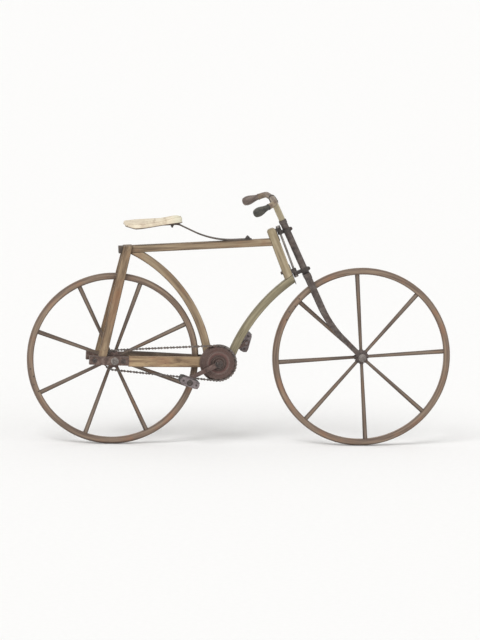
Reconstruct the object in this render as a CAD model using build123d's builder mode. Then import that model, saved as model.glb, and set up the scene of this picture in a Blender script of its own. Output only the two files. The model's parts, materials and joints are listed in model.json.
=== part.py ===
from build123d import *
from math import asin, atan2, copysign, cos, degrees, hypot, pi, radians, sin, tan
import os

os.makedirs("parts", exist_ok=True)

# A wooden safety bicycle: bent wooden bars, eight-spoked wooden wheels, a fixed chain drive on the right side,
# and a fork that hangs on a gate hinge in front of the head post.
# Lengths are millimetres. +X is forward, +Y is the rider's left, +Z is up.
# The origin is on top of the saddle, where the rider sits. Sizes named "ahead" are counted from the rear axle.

# Seat
SEAT_AHEAD = 120.0
SEAT_ABOVE_BAR = 97.7

# Wheels
REAR_RADIUS = 355.5
FRONT_RADIUS = 371.0
WHEELBASE = 1031.5
RIM_DEPTH = 27.0
RIM_WIDTH = 32.0
RIM_CHAMFER = 8.0
SPOKES = 8
SPOKE_HUB_DIAMETER = 12.5
SPOKE_RIM_DIAMETER = 19.5
REAR_SPOKE_ANGLE = 26.0
FRONT_SPOKE_ANGLE = 4.3
REAR_HUB_RADIUS = 28.0
FRONT_HUB_RADIUS = 24.0
HUB_BAND_HALF = 18.0
HUB_TAPER = 6.0
REAR_HUB_HALF = 30.0
FRONT_HUB_HALF = 26.0
SPROCKET_BOSS_RADIUS = 18.0
AXLE_RADIUS = 6.0
AXLE_STUB_RADIUS = 5.0
AXLE_STUB = 10.0
AXLE_COLLAR_RADIUS = 11.0
RUNNING_GAP = 0.1
FACE_GAP = 0.5
NUT_RADIUS = 11.0
NUT_THICKNESS = 9.0

# Wooden frame bars
BAR_WIDTH = 32.0
BAR_ROUNDING = 5.0
TOP_BAR_DEPTH = 30.0
TOP_BAR_TAIL_AHEAD = 14.0
TOP_BAR_WHEEL_GAP = 81.0
BENT_BAR_DEPTH = 33.0
SEAT_TUBE_WHEEL_GAP = 13.5
SEAT_TUBE_NEAREST_ANGLE = 22.6
SEAT_TUBE_TOP_AHEAD = 60.0
SEAT_TUBE_FOOT_BEHIND = 34.0
DOWN_TUBE_FOOT_AHEAD = 40.0
DOWN_TUBE_BELOW_HEAD = 6.0
DOWN_TUBE_BOW = 35.0
BAR_FOOT_DROP = 24.0
STAY_THICKNESS = 20.0
SEAT_STAY_DEPTH = 35.0
SEAT_STAY_TOP_AHEAD = 34.0
SEAT_STAY_FOOT_BEHIND = 50.0
SEAT_STAY_HOUSING = 3.0
CHAIN_STAY_DEPTH = 44.0
CHAIN_STAY_REAR_INNER = 66.0
CHAIN_STAY_STRAIGHT = 8.0
CHAIN_STAY_BEND_REACH = 45.0
CHAIN_STAY_FRONT_BEND = 88.0
CHAIN_STAY_NOSE_GAP = 4.0
TENON_DEPTH = 29.0
TENON_TAIL = 101.0
TENON_SHOULDER = 58.0

# Iron on the frame
SHOE_WALL = 3.0
HANGER_THICKNESS = 6.0
SHELL_RADIUS = 23.0
SHELL_HALF = 46.0
# Lobes of a hanger plate: ahead of the bracket, above it, radius
HANGER_LOBES = ((0.0, 0.0, 38.0), (-37.0, 26.0, 20.0), (51.0, 16.0, 18.0), (-48.0, 0.0, 18.0))

# Head and steering hinge
HEAD_LEAN_ANGLE = 21.9
HEAD_DEPTH = 35.0
HEAD_LENGTH = 225.5
HEAD_ABOVE_BAR = 52.7
HEAD_TOP_ROUNDING = 12.0
HEAD_ROUNDING = 3.0
PIN_AHEAD = 31.5
PIN_RADIUS = 4.5
PIN_HEAD_RADIUS = 9.0
PIN_HEAD = 8.0
HINGE_INSET = 22.0
KNUCKLE_RADIUS = 9.5
KNUCKLE_HEIGHT = 14.0
HINGE_PLATE = 2.5
HINGE_PLATE_HEIGHT = 46.0
HINGE_PLATE_WIDTH = 26.0
HINGE_PLATE_SHIFT = 14.0

# Fork
FORK_LEAN_ANGLE = 25.5
FORK_AHEAD_OF_PIN = 40.7
FORK_ABOVE_STRAP = 46.1
FORK_POST_RADIUS = 14.5
FORK_CLAMP_WALL = 5.0
FORK_ARM_WIDTH = 17.0
CROWN_DEPTH = 30.0
CROWN_HEIGHT = 26.0
CROWN_WHEEL_GAP = 24.5
CROWN_LEAN_ANGLE = 34.57
CROWN_BELOW_STRAP = 14.3
BLADE_INNER = 32.0
BLADE_THICKNESS = 8.0
BLADE_TOP_WIDTH = 26.0
BLADE_EYE_WIDTH = 21.0
BLADE_STRAIGHT = 238.0
BLADE_BEND_REACH = 82.0
BLADE_EYE_RADIUS = 17.0

# Stem and handlebar
STEM_RADIUS = 13.0
STEM_TENON_RADIUS = 10.0
STEM_RISE = 100.0
STEM_BELOW_BAR = 4.0
STEM_SOCKET = 60.0
HANDLEBAR_RADIUS = 12.0
HANDLEBAR_TILT_ANGLE = 24.0
HANDLEBAR_SWEEP_ANGLE = 155.0
HANDLEBAR_CORNER_BEHIND = 8.0
HANDLEBAR_CORNER_OUT = 165.0
HANDLEBAR_CORNER_REACH = 30.0
HANDLEBAR_MIDDLE_REACH = 50.0
HANDLEBAR_TAIL = 3.0
GRIP_LENGTH = 76.0
GRIP_WAIST_RADIUS = 13.0
GRIP_BELLY_RADIUS = 19.5
GRIP_BELLY_PLACE = 0.62
GRIP_TIP_RADIUS = 12.0

# Crank set and chain
BRACKET_WHEEL_GAP = 54.2
BRACKET_DROP = 9.1
SPINDLE_RADIUS = 8.0
CHAIN_OUT = 54.0
CHAIN_PITCH = 25.4
CHAINWHEEL_TEETH = 18
SPROCKET_TEETH = 10
TOOTH_DEPTH = 7.0
TOOTH_THICKNESS = 4.0
TOOTH_ROOT_WIDTH = 11.0
TOOTH_TIP_WIDTH = 5.0
TOOTH_TIP_GAP = 0.5
BLOCK_HEIGHT = 7.6
BLOCK_LENGTH = 22.0
BLOCK_THICKNESS = 6.0
LINK_HEIGHT = 9.6
LINK_LENGTH = 19.0
LINK_FLAT = 12.0
LINK_THICKNESS = 2.0
RING_INNER = 46.0
WEB_THICKNESS = 2.6
CHAINWHEEL_BOSS_RADIUS = 25.0
CHAINWHEEL_FLANGE = 1.4
FLANGE_BELOW_TIP = 1.5
CHAINWHEEL_BEAD_RADIUS = 39.0
CHAINWHEEL_BEAD_WIDTH = 5.0
CHAINWHEEL_BEAD_HEIGHT = 2.4
CRANK_INNER = 64.0
CRANK_THICKNESS = 12.0
CRANK_LENGTH = 145.0
CRANK_BOSS_WIDTH = 20.0
CRANK_EYE_WIDTH = 14.0
CRANK_BOSS_RADIUS = 17.0
CRANK_EYE_RADIUS = 11.0
RIGHT_CRANK_ANGLE = 208.0

# Pedals
PEDAL_SPINDLE_RADIUS = 6.0
PEDAL_INNER = 84.0
PEDAL_WIDTH = 80.0
PEDAL_LENGTH = 80.0
PEDAL_PLATE = 3.0
PEDAL_RIM = 1.5
PEDAL_BARREL_RADIUS = 9.0
PEDAL_BLOCK_DEPTH = 24.0
PEDAL_BLOCK_HEIGHT = 30.0
PEDAL_BLOCK_ROUNDING = 5.0
RIGHT_PEDAL_ANGLE = -20.0
LEFT_PEDAL_ANGLE = 75.0

# Saddle and its leaf spring
SADDLE_TILT_ANGLE = 3.5
SADDLE_REAR = 85.0
SADDLE_NOSE = 154.0
SADDLE_CORNER_RADIUS = 62.0
SADDLE_REAR_HALF = 95.0
SADDLE_NOSE_RADIUS = 27.5
SADDLE_PAD = 12.0
SADDLE_PAD_ROUNDING = 5.0
SADDLE_PAN = 4.0
SADDLE_PAN_INSET = 5.0
LEAF_WIDTH = 30.0
LEAF_THICKNESS = 5.0
LEAF_TAIL_BEHIND = 40.0
LEAF_BEND_AHEAD = 136.0
LEAF_HEAD_GAP = 80.0
LEAF_ON_BAR_SHARE = 0.52
LEAF_SADDLE_BEND_REACH = 12.0
LEAF_BAR_BEND_SHARE = 0.57
LEAF_BOLT_BEHIND_NOSE = 16.0
LEAF_BOLT_RADIUS = 9.0
LEAF_BOLT_HEIGHT = 8.0

SIDES = {"right": -1, "left": 1}


def along(point, lean, up, ahead=0.0):
    """A place up a line that leans back by some degrees, and square ahead of it."""
    slant = radians(lean)
    return (
        point[0] - sin(slant) * up + cos(slant) * ahead,
        point[1] + cos(slant) * up + sin(slant) * ahead,
    )


def bend_radius(before, corner, after, reach):
    """The radius of a bend that starts and ends at some reach from its corner."""
    turn = atan2(after[1] - corner[1], after[0] - corner[0]) - atan2(corner[1] - before[1], corner[0] - before[0])
    return reach / abs(tan(turn / 2))


def side_plane(y, centre=(0.0, 0.0), turn=0.0):
    """A plane seen from the right: x forward, turned up by some degrees, and y up."""
    ahead = (cos(radians(turn)), 0, sin(radians(turn)))
    return Plane(origin=(centre[0], y, centre[1]), x_dir=ahead, z_dir=(0, -1, 0))


def cross_plane(point, lean):
    """A plane square to a line that leans back by some degrees: x forward and y to the left."""
    slant = radians(lean)
    return Plane(
        origin=(point[0], 0, point[1]),
        x_dir=(cos(slant), 0, sin(slant)),
        z_dir=(-sin(slant), 0, cos(slant)),
    )


def flank_plane(sign, inner, outer, centre=(0.0, 0.0), turn=0.0):
    """The side plane from which a piece between two distances from the middle is drawn to the right."""
    return side_plane(max(sign * inner, sign * outer), centre, turn)


def axle_axis(axle):
    """The line of an axle, along +Y."""
    return Axis((axle[0], 0, axle[1]), (0, 1, 0))


def save(builder, name):
    """Labels a finished piece and writes it."""
    builder.part.label = name
    export_step(builder.part, f"parts/{name}.step")


# Main points in the side view. They are first counted from the rear axle: the front wheel carries the fork, the
# fork's hinge carries the head, and the top bar runs from over the rear wheel to the head.
hinge_height = HEAD_LENGTH / 2 - HINGE_INSET
strap_height = hinge_height + FACE_GAP + KNUCKLE_HEIGHT / 2
fork_turn = radians(FORK_LEAN_ANGLE - HEAD_LEAN_ANGLE)
post_length = CROWN_BELOW_STRAP + 2 * hinge_height / cos(fork_turn) + FORK_ABOVE_STRAP
wheel_place = (WHEELBASE, FRONT_RADIUS - REAR_RADIUS)
crown_place = along(wheel_place, CROWN_LEAN_ANGLE, FRONT_RADIUS + CROWN_WHEEL_GAP + CROWN_HEIGHT)
strap_place = along(crown_place, FORK_LEAN_ANGLE, CROWN_BELOW_STRAP)
hinge_place = along(strap_place, HEAD_LEAN_ANGLE, strap_height, -FORK_AHEAD_OF_PIN)
nose_place = along(hinge_place, HEAD_LEAN_ANGLE, HEAD_LENGTH / 2 - HEAD_ABOVE_BAR, -PIN_AHEAD - HEAD_DEPTH / 2)
tail_place = (TOP_BAR_TAIL_AHEAD, REAR_RADIUS + TOP_BAR_WHEEL_GAP + TOP_BAR_DEPTH / 2)
bar_length = hypot(nose_place[0] - tail_place[0], nose_place[1] - tail_place[1])
bar_slope = degrees(atan2(nose_place[1] - tail_place[1], nose_place[0] - tail_place[0]))
bracket_place = (REAR_RADIUS + BRACKET_WHEEL_GAP + SHELL_RADIUS, -BRACKET_DROP)
seat_over_tail = (SEAT_AHEAD - TOP_BAR_TAIL_AHEAD) * tan(radians(bar_slope)) + TOP_BAR_DEPTH / 2
seat_up = tail_place[1] + seat_over_tail + SEAT_ABOVE_BAR


def from_seat(place):
    """X and Z of a place that is counted from the rear axle."""
    return (place[0] - SEAT_AHEAD, place[1] - seat_up)


rear_axle = from_seat((0, 0))
front_axle = from_seat(wheel_place)
bracket = from_seat(bracket_place)
bar_tail = from_seat(tail_place)
bar_nose = from_seat(nose_place)
hinge_middle = from_seat(hinge_place)
head_middle = along(hinge_middle, HEAD_LEAN_ANGLE, 0, -PIN_AHEAD)
post_bottom = from_seat(crown_place)
fork_top = along(post_bottom, FORK_LEAN_ANGLE, post_length)
sprocket_boss_end = CHAIN_OUT + BLOCK_THICKNESS / 2
stay_rear_outer = CHAIN_STAY_REAR_INNER + STAY_THICKNESS
shoe_outer = stay_rear_outer + SHOE_WALL
shoe_inner = CHAIN_STAY_REAR_INNER - SHOE_WALL
blade_outer = BLADE_INNER + BLADE_THICKNESS

# Wheels: each row has the axle, the radius, the first spoke's turn, the hub's radius, the ends of the hub
# on the right and on the left, the distance of the axle's holders on their inner and outer faces
wheels = {
    "rear": (
        rear_axle,
        REAR_RADIUS,
        REAR_SPOKE_ANGLE,
        REAR_HUB_RADIUS,
        sprocket_boss_end,
        REAR_HUB_HALF,
        shoe_inner,
        shoe_outer,
    ),
    "front": (
        front_axle,
        FRONT_RADIUS,
        FRONT_SPOKE_ANGLE,
        FRONT_HUB_RADIUS,
        FRONT_HUB_HALF,
        FRONT_HUB_HALF,
        BLADE_INNER,
        blade_outer,
    ),
}

for end, (axle, radius, turn, hub_radius, right_end, left_end, holder, seat) in wheels.items():
    with BuildPart() as rim:
        with BuildSketch(cross_plane(axle, 0)) as rim_section:
            with Locations((radius - RIM_DEPTH / 2, 0)):
                Rectangle(RIM_DEPTH, RIM_WIDTH)
            chamfer(rim_section.vertices().group_by(Axis.X)[-1], RIM_CHAMFER)
        revolve(axis=axle_axis(axle))
    save(rim, f"{end}_rim")

    with BuildPart() as spokes:
        for n in range(SPOKES):
            angle = radians(turn + 360 * n / SPOKES)
            with Locations(Plane(origin=(axle[0], 0, axle[1]), z_dir=(cos(angle), 0, sin(angle)))):
                Cone(
                    SPOKE_HUB_DIAMETER / 2,
                    SPOKE_RIM_DIAMETER / 2,
                    radius,
                    align=(Align.CENTER, Align.CENTER, Align.MIN),
                )
        with Locations(side_plane(0, axle)):
            Cylinder(radius - RIM_DEPTH, RIM_WIDTH, mode=Mode.INTERSECT)
            Cylinder(hub_radius, RIM_WIDTH, mode=Mode.SUBTRACT)
    save(spokes, f"{end}_spokes")

    # Turned hub on a plain bearing. At the rear its right end is drawn out into the sprocket's boss.
    with BuildPart() as hub:
        half = REAR_HUB_HALF if end == "rear" else FRONT_HUB_HALF
        with BuildSketch(cross_plane(axle, 0)):
            with BuildLine():
                Polyline(
                    (0, half),
                    (hub_radius - HUB_TAPER, half),
                    (hub_radius, HUB_BAND_HALF),
                    (hub_radius, -HUB_BAND_HALF),
                    (hub_radius - HUB_TAPER, -half),
                    (0, -half),
                    close=True,
                )
            make_face()
        revolve(axis=axle_axis(axle))
        with Locations(side_plane(0, axle)):
            if end == "rear":
                Cylinder(SPROCKET_BOSS_RADIUS, right_end, align=(Align.CENTER, Align.CENTER, Align.MIN))
            Cylinder(AXLE_RADIUS + RUNNING_GAP, 4 * right_end, mode=Mode.SUBTRACT)
    save(hub, f"{end}_hub")

    # Axle with a collar at each side of the hub, nuts outside the holders and plain stubs past the nuts
    nut_out = seat + NUT_THICKNESS
    with BuildPart() as axle_rod:
        with Locations(side_plane(0, axle)):
            Cylinder(AXLE_STUB_RADIUS, 2 * (nut_out + AXLE_STUB))
            Cylinder(AXLE_RADIUS, 2 * nut_out)
        for sign, hub_end in ((-1, right_end), (1, left_end)):
            with BuildSketch(flank_plane(sign, hub_end + FACE_GAP, holder, axle)):
                Circle(AXLE_COLLAR_RADIUS)
            extrude(amount=holder - hub_end - FACE_GAP)
    save(axle_rod, f"{end}_axle")

    with BuildPart() as nuts:
        for sign in SIDES.values():
            with BuildSketch(flank_plane(sign, seat, nut_out, axle)):
                RegularPolygon(NUT_RADIUS, 6)
                Circle(AXLE_RADIUS, mode=Mode.SUBTRACT)
            extrude(amount=NUT_THICKNESS)
    save(nuts, f"{end}_axle_nuts")

# Toothed wheels. Their tips run just inside the chain's blocks and between its side links.
chainwheel_pitch = CHAIN_PITCH / (2 * sin(pi / CHAINWHEEL_TEETH))
sprocket_pitch = CHAIN_PITCH / (2 * sin(pi / SPROCKET_TEETH))
tip_below_pitch = BLOCK_HEIGHT / 2 + TOOTH_TIP_GAP


def toothed_ring(pitch_radius, teeth, bore):
    """Draws a toothed ring on the sketch that is open."""
    tip = pitch_radius - tip_below_pitch
    root = tip - TOOTH_DEPTH
    Circle(root)
    with PolarLocations(0, teeth):
        Polygon(
            (root - TOOTH_DEPTH, -TOOTH_ROOT_WIDTH / 2),
            (root, -TOOTH_ROOT_WIDTH / 2),
            (tip, -TOOTH_TIP_WIDTH / 2),
            (tip, TOOTH_TIP_WIDTH / 2),
            (root, TOOTH_ROOT_WIDTH / 2),
            (root - TOOTH_DEPTH, TOOTH_ROOT_WIDTH / 2),
            align=None,
        )
    Circle(bore, mode=Mode.SUBTRACT)


with BuildPart() as rear_sprocket:
    with BuildSketch(side_plane(-CHAIN_OUT, rear_axle)):
        toothed_ring(sprocket_pitch, SPROCKET_TEETH, SPROCKET_BOSS_RADIUS)
    extrude(amount=TOOTH_THICKNESS / 2, both=True)
save(rear_sprocket, "rear_sprocket")

# Top bar, butted against the back of the head post
head_forward = cross_plane(head_middle, HEAD_LEAN_ANGLE).x_dir
head_front = along(head_middle, HEAD_LEAN_ANGLE, 0, HEAD_DEPTH / 2)

with BuildPart() as top_bar:
    with BuildSketch(side_plane(0, bar_tail, bar_slope)):
        Rectangle(bar_length + HEAD_DEPTH, TOP_BAR_DEPTH, align=(Align.MIN, Align.CENTER))
    extrude(amount=BAR_WIDTH / 2, both=True)
    split(bisect_by=Plane((bar_nose[0], 0, bar_nose[1]), z_dir=head_forward), keep=Keep.BOTTOM)
    fillet(top_bar.edges().group_by(Edge.length)[-2:], BAR_ROUNDING)
save(top_bar, "top_bar")


def bent_bar(arc, overrun=0.0):
    """Draws a bent bar along an arc on the sketch that is open. The bar can run on past the arc's start."""
    centre = arc.arc_center
    turns = [degrees(atan2(point.Y - centre.Y, point.X - centre.X)) for point in (arc @ 0, arc @ 1)]
    first = turns[0] + copysign(degrees(overrun / arc.radius), turns[0] - turns[1])
    outer_radius = arc.radius + BENT_BAR_DEPTH / 2
    with BuildLine() as strip:
        outer = CenterArc(centre, outer_radius, first, turns[1] - first)
        inner = CenterArc(centre, outer_radius - BENT_BAR_DEPTH, first, turns[1] - first)
        Line(outer @ 0, inner @ 0)
        Line(outer @ 1, inner @ 1)
    make_face(strip.edges())


# Seat tube, bent round the rear wheel from the top bar to the bracket
seat_tube_reach = REAR_RADIUS + SEAT_TUBE_WHEEL_GAP + BENT_BAR_DEPTH / 2
seat_tube_top = along(bar_tail, bar_slope, 0, SEAT_TUBE_TOP_AHEAD - TOP_BAR_TAIL_AHEAD)
seat_tube_waist = along(rear_axle, SEAT_TUBE_NEAREST_ANGLE, 0, seat_tube_reach)
seat_tube_foot = (bracket[0] - SEAT_TUBE_FOOT_BEHIND, bracket[1] - BAR_FOOT_DROP)
seat_tube_arc = ThreePointArc(seat_tube_top, seat_tube_waist, seat_tube_foot)

with BuildPart() as seat_tube:
    with BuildSketch(side_plane(0)):
        bent_bar(seat_tube_arc)
    extrude(amount=BAR_WIDTH / 2, both=True)
    fillet(seat_tube.edges().filter_by(GeomType.CIRCLE), BAR_ROUNDING)
    with BuildSketch(side_plane(0, bar_tail, bar_slope)):
        with Locations((0, -TOP_BAR_DEPTH / 2)):
            Rectangle(2 * bar_length, bar_length, align=(Align.CENTER, Align.MIN))
    extrude(amount=BAR_WIDTH, both=True, mode=Mode.SUBTRACT)
    with Locations(side_plane(0, bracket)):
        Cylinder(SHELL_RADIUS, BAR_WIDTH, mode=Mode.SUBTRACT)
save(seat_tube, "seat_tube")

# Down tube, bent away from the front wheel, from under the head post to the bracket
down_tube_top = along(head_middle, HEAD_LEAN_ANGLE, -HEAD_LENGTH / 2 - DOWN_TUBE_BELOW_HEAD)
down_tube_foot = (bracket[0] + DOWN_TUBE_FOOT_AHEAD, bracket[1] - BAR_FOOT_DROP)
down_tube_rise = Vector(down_tube_top[0] - down_tube_foot[0], down_tube_top[1] - down_tube_foot[1])
down_tube_side = Vector(-down_tube_rise.Y, down_tube_rise.X).normalized()
down_tube_waist = Vector(*down_tube_foot) + down_tube_rise / 2 + down_tube_side * DOWN_TUBE_BOW
down_tube_arc = ThreePointArc(down_tube_top, down_tube_waist, down_tube_foot)

with BuildPart() as down_tube:
    with BuildSketch(side_plane(0)):
        bent_bar(down_tube_arc, overrun=2 * HEAD_DEPTH)
    extrude(amount=BAR_WIDTH / 2, both=True)
    fillet(down_tube.edges().filter_by(GeomType.CIRCLE), BAR_ROUNDING)
    split(bisect_by=Plane((head_front[0], 0, head_front[1]), z_dir=head_forward), keep=Keep.BOTTOM)
    with Locations(side_plane(0, bracket)):
        Cylinder(SHELL_RADIUS, BAR_WIDTH, mode=Mode.SUBTRACT)
save(down_tube, "down_tube")

# Head post, hollowed at its foot to stand on the down tube
with BuildPart() as head_post:
    with BuildSketch(side_plane(0, head_middle, HEAD_LEAN_ANGLE)) as post_outline:
        Rectangle(HEAD_DEPTH, HEAD_LENGTH)
        fillet(post_outline.vertices().group_by(Axis.Y)[-1], HEAD_TOP_ROUNDING)
    extrude(amount=BAR_WIDTH / 2, both=True)
    fillet(head_post.edges().group_by(Edge.length)[-1], HEAD_ROUNDING)
    with Locations(side_plane(0, tuple(down_tube_arc.arc_center))):
        Cylinder(down_tube_arc.radius + BENT_BAR_DEPTH / 2, 2 * BAR_WIDTH, mode=Mode.SUBTRACT)
save(head_post, "head_post")

# Bottom bracket: a shell in two iron hanger plates that tie the bars and the chain stays together
hanger_outer = BAR_WIDTH / 2 + HANGER_THICKNESS
with BuildPart() as bracket_shell:
    with Locations(side_plane(0, bracket)):
        Cylinder(SHELL_RADIUS, 2 * SHELL_HALF)
        Cylinder(SPINDLE_RADIUS + RUNNING_GAP, 2 * SHELL_HALF, mode=Mode.SUBTRACT)
save(bracket_shell, "bracket_shell")

for side, sign in SIDES.items():
    with BuildPart() as hanger:
        with BuildSketch(flank_plane(sign, BAR_WIDTH / 2, hanger_outer, bracket)):
            for ahead, up, lobe in HANGER_LOBES:
                with Locations((ahead, up)):
                    Circle(lobe)
            make_hull()
            Circle(SHELL_RADIUS, mode=Mode.SUBTRACT)
        extrude(amount=HANGER_THICKNESS)
    save(hanger, f"hanger_plate_{side}")

# Chain stays, bent in plan: wide apart at the axle and close together at the hanger plates
stay_run = bracket[0] - rear_axle[0]
stay_rise = bracket[1] - rear_axle[1]
stay_angle = degrees(atan2(stay_rise, stay_run))
stay_span = hypot(stay_run, stay_rise)
stay_nose = stay_span - SHELL_RADIUS - CHAIN_STAY_NOSE_GAP
stay_front_bend = stay_span - CHAIN_STAY_FRONT_BEND
stay_rear_bend = TENON_SHOULDER + CHAIN_STAY_STRAIGHT + CHAIN_STAY_BEND_REACH
stay_plan = cross_plane(rear_axle, stay_angle)
stay_turn = atan2(CHAIN_STAY_REAR_INNER - hanger_outer, stay_front_bend - stay_rear_bend)
mitre = STAY_THICKNESS * tan(stay_turn / 2)
tight = CHAIN_STAY_BEND_REACH / tan(stay_turn / 2)
wide = tight + STAY_THICKNESS
shoe_half = TENON_DEPTH / 2 + SHOE_WALL

for side, sign in SIDES.items():
    with BuildPart() as chain_stay:
        with BuildSketch(stay_plan):
            with BuildLine():
                inner = FilletPolyline(
                    (TENON_SHOULDER, sign * CHAIN_STAY_REAR_INNER),
                    (stay_rear_bend, sign * CHAIN_STAY_REAR_INNER),
                    (stay_front_bend, sign * hanger_outer),
                    (stay_nose, sign * hanger_outer),
                    radius=(tight, wide),
                )
                outer = FilletPolyline(
                    (TENON_SHOULDER, sign * stay_rear_outer),
                    (stay_rear_bend + mitre, sign * stay_rear_outer),
                    (stay_front_bend + mitre, sign * (hanger_outer + STAY_THICKNESS)),
                    (stay_nose, sign * (hanger_outer + STAY_THICKNESS)),
                    radius=(wide, tight),
                )
                Line(inner @ 0, outer @ 0)
                Line(inner @ 1, outer @ 1)
            make_face()
        extrude(amount=CHAIN_STAY_DEPTH / 2, both=True)
        flats = chain_stay.faces().filter_by(Axis(stay_plan.origin, stay_plan.z_dir))
        fillet(flats.edges().filter_by(lambda edge: edge.length > 2 * STAY_THICKNESS), BAR_ROUNDING)
        with BuildSketch(stay_plan):
            Polygon(
                (-TENON_TAIL, sign * CHAIN_STAY_REAR_INNER),
                (TENON_SHOULDER, sign * CHAIN_STAY_REAR_INNER),
                (TENON_SHOULDER, sign * stay_rear_outer),
                (-TENON_TAIL, sign * stay_rear_outer),
                align=None,
            )
        extrude(amount=TENON_DEPTH / 2, both=True)
        with Locations(side_plane(0, rear_axle)):
            Cylinder(AXLE_RADIUS, 4 * shoe_outer, mode=Mode.SUBTRACT)
    save(chain_stay, f"chain_stay_{side}")

    # Iron shoe: a socket over the stay's tenon, with the axle through it
    with BuildPart() as shoe:
        with BuildSketch(stay_plan):
            Polygon(
                (-TENON_TAIL - SHOE_WALL, sign * shoe_inner),
                (-TENON_TAIL - SHOE_WALL, sign * shoe_outer),
                (TENON_SHOULDER, sign * shoe_outer),
                (TENON_SHOULDER, sign * shoe_inner),
                align=None,
            )
        extrude(amount=shoe_half, both=True)
        add(chain_stay.part, mode=Mode.SUBTRACT)
        with Locations(side_plane(0, rear_axle)):
            Cylinder(AXLE_RADIUS, 4 * shoe_outer, mode=Mode.SUBTRACT)
    save(shoe, f"axle_shoe_{side}")

    # Seat stay: let into the top bar's side, and standing on the shoe
    stay_joint = along(bar_tail, bar_slope, 0, SEAT_STAY_TOP_AHEAD)
    stay_top = Vector(
        stay_joint[0],
        sign * (BAR_WIDTH / 2 - SEAT_STAY_HOUSING + STAY_THICKNESS / 2),
        stay_joint[1],
    )
    stay_foot = Vector(
        rear_axle[0] - SEAT_STAY_FOOT_BEHIND,
        sign * (CHAIN_STAY_REAR_INNER + STAY_THICKNESS / 2),
        rear_axle[1] + shoe_half,
    )
    stay_line = stay_top - stay_foot
    stay_start = stay_foot - stay_line.normalized() * SEAT_STAY_DEPTH
    with BuildPart() as seat_stay:
        with BuildSketch(Plane(stay_start, x_dir=(stay_line.Z, 0, -stay_line.X), z_dir=stay_line)):
            RectangleRounded(SEAT_STAY_DEPTH, STAY_THICKNESS, BAR_ROUNDING)
        extrude(amount=stay_line.length + 2 * SEAT_STAY_DEPTH)
        with BuildSketch(stay_plan.offset(shoe_half)):
            Rectangle(2 * stay_span, 2 * stay_span)
        extrude(amount=-stay_span, mode=Mode.SUBTRACT)
        with BuildSketch(side_plane(0, bar_tail, bar_slope)):
            with Locations((0, TOP_BAR_DEPTH / 2)):
                Rectangle(2 * stay_span, stay_span, align=(Align.CENTER, Align.MIN))
        extrude(amount=stay_span, both=True, mode=Mode.SUBTRACT)
        with BuildSketch(side_plane(0, bar_tail, bar_slope)):
            Rectangle(2 * stay_span, 4 * SEAT_STAY_DEPTH)
        extrude(amount=BAR_WIDTH / 2, both=True, mode=Mode.SUBTRACT)
    save(seat_stay, f"seat_stay_{side}")

# Steering hinge: knuckles on the head post, knuckles of the fork right below them, and one long pin
face_reach = PIN_AHEAD - HEAD_DEPTH / 2
pin_low = -hinge_height - KNUCKLE_HEIGHT - 2 * FACE_GAP - PIN_HEAD
pin_high = hinge_height + KNUCKLE_HEIGHT

with BuildPart() as hinge_pin:
    with BuildSketch(cross_plane(along(hinge_middle, HEAD_LEAN_ANGLE, pin_low), HEAD_LEAN_ANGLE)):
        Circle(PIN_RADIUS)
    extrude(amount=pin_high - pin_low)
    for place in (pin_low, pin_high):
        with BuildSketch(cross_plane(along(hinge_middle, HEAD_LEAN_ANGLE, place), HEAD_LEAN_ANGLE)):
            RegularPolygon(PIN_HEAD_RADIUS, 6)
        extrude(amount=PIN_HEAD)
save(hinge_pin, "hinge_pin")

for level, level_sign in {"upper": 1, "lower": -1}.items():
    height = level_sign * hinge_height
    with BuildPart() as head_knuckle:
        with BuildSketch(cross_plane(along(hinge_middle, HEAD_LEAN_ANGLE, height), HEAD_LEAN_ANGLE)):
            Circle(KNUCKLE_RADIUS)
            Rectangle(face_reach, FORK_ARM_WIDTH, align=(Align.MAX, Align.CENTER))
            Circle(PIN_RADIUS, mode=Mode.SUBTRACT)
        extrude(amount=KNUCKLE_HEIGHT)
        plate_middle = height - level_sign * HINGE_PLATE_SHIFT
        with BuildSketch(cross_plane(along(hinge_middle, HEAD_LEAN_ANGLE, plate_middle), HEAD_LEAN_ANGLE)):
            with Locations((-face_reach, 0)):
                Rectangle(HINGE_PLATE, HINGE_PLATE_WIDTH, align=(Align.MIN, Align.CENTER))
        extrude(amount=HINGE_PLATE_HEIGHT / 2, both=True)
    save(head_knuckle, f"head_knuckle_{level}")

    # The fork's knuckle reaches forward to a band round the post, which leans a little more than the hinge
    strap_low = height - FACE_GAP - KNUCKLE_HEIGHT
    strap_origin = along(hinge_middle, HEAD_LEAN_ANGLE, strap_low)
    strap_plane = cross_plane(strap_origin, HEAD_LEAN_ANGLE)
    post_start = strap_plane.to_local_coords(Vector(fork_top[0], 0, fork_top[1]))
    reach = post_start.X + (post_start.Z - KNUCKLE_HEIGHT / 2) * tan(radians(FORK_LEAN_ANGLE - HEAD_LEAN_ANGLE))
    with BuildPart() as fork_knuckle:
        with BuildSketch(strap_plane):
            Circle(KNUCKLE_RADIUS)
            Rectangle(reach, FORK_ARM_WIDTH, align=(Align.MIN, Align.CENTER))
            with Locations((reach, 0)):
                Circle(FORK_POST_RADIUS + FORK_CLAMP_WALL)
            Circle(PIN_RADIUS + RUNNING_GAP, mode=Mode.SUBTRACT)
        extrude(amount=KNUCKLE_HEIGHT)
        with BuildSketch(cross_plane(post_bottom, FORK_LEAN_ANGLE)):
            Circle(FORK_POST_RADIUS)
        extrude(amount=post_length, mode=Mode.SUBTRACT)
    save(fork_knuckle, f"fork_knuckle_{level}")

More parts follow.
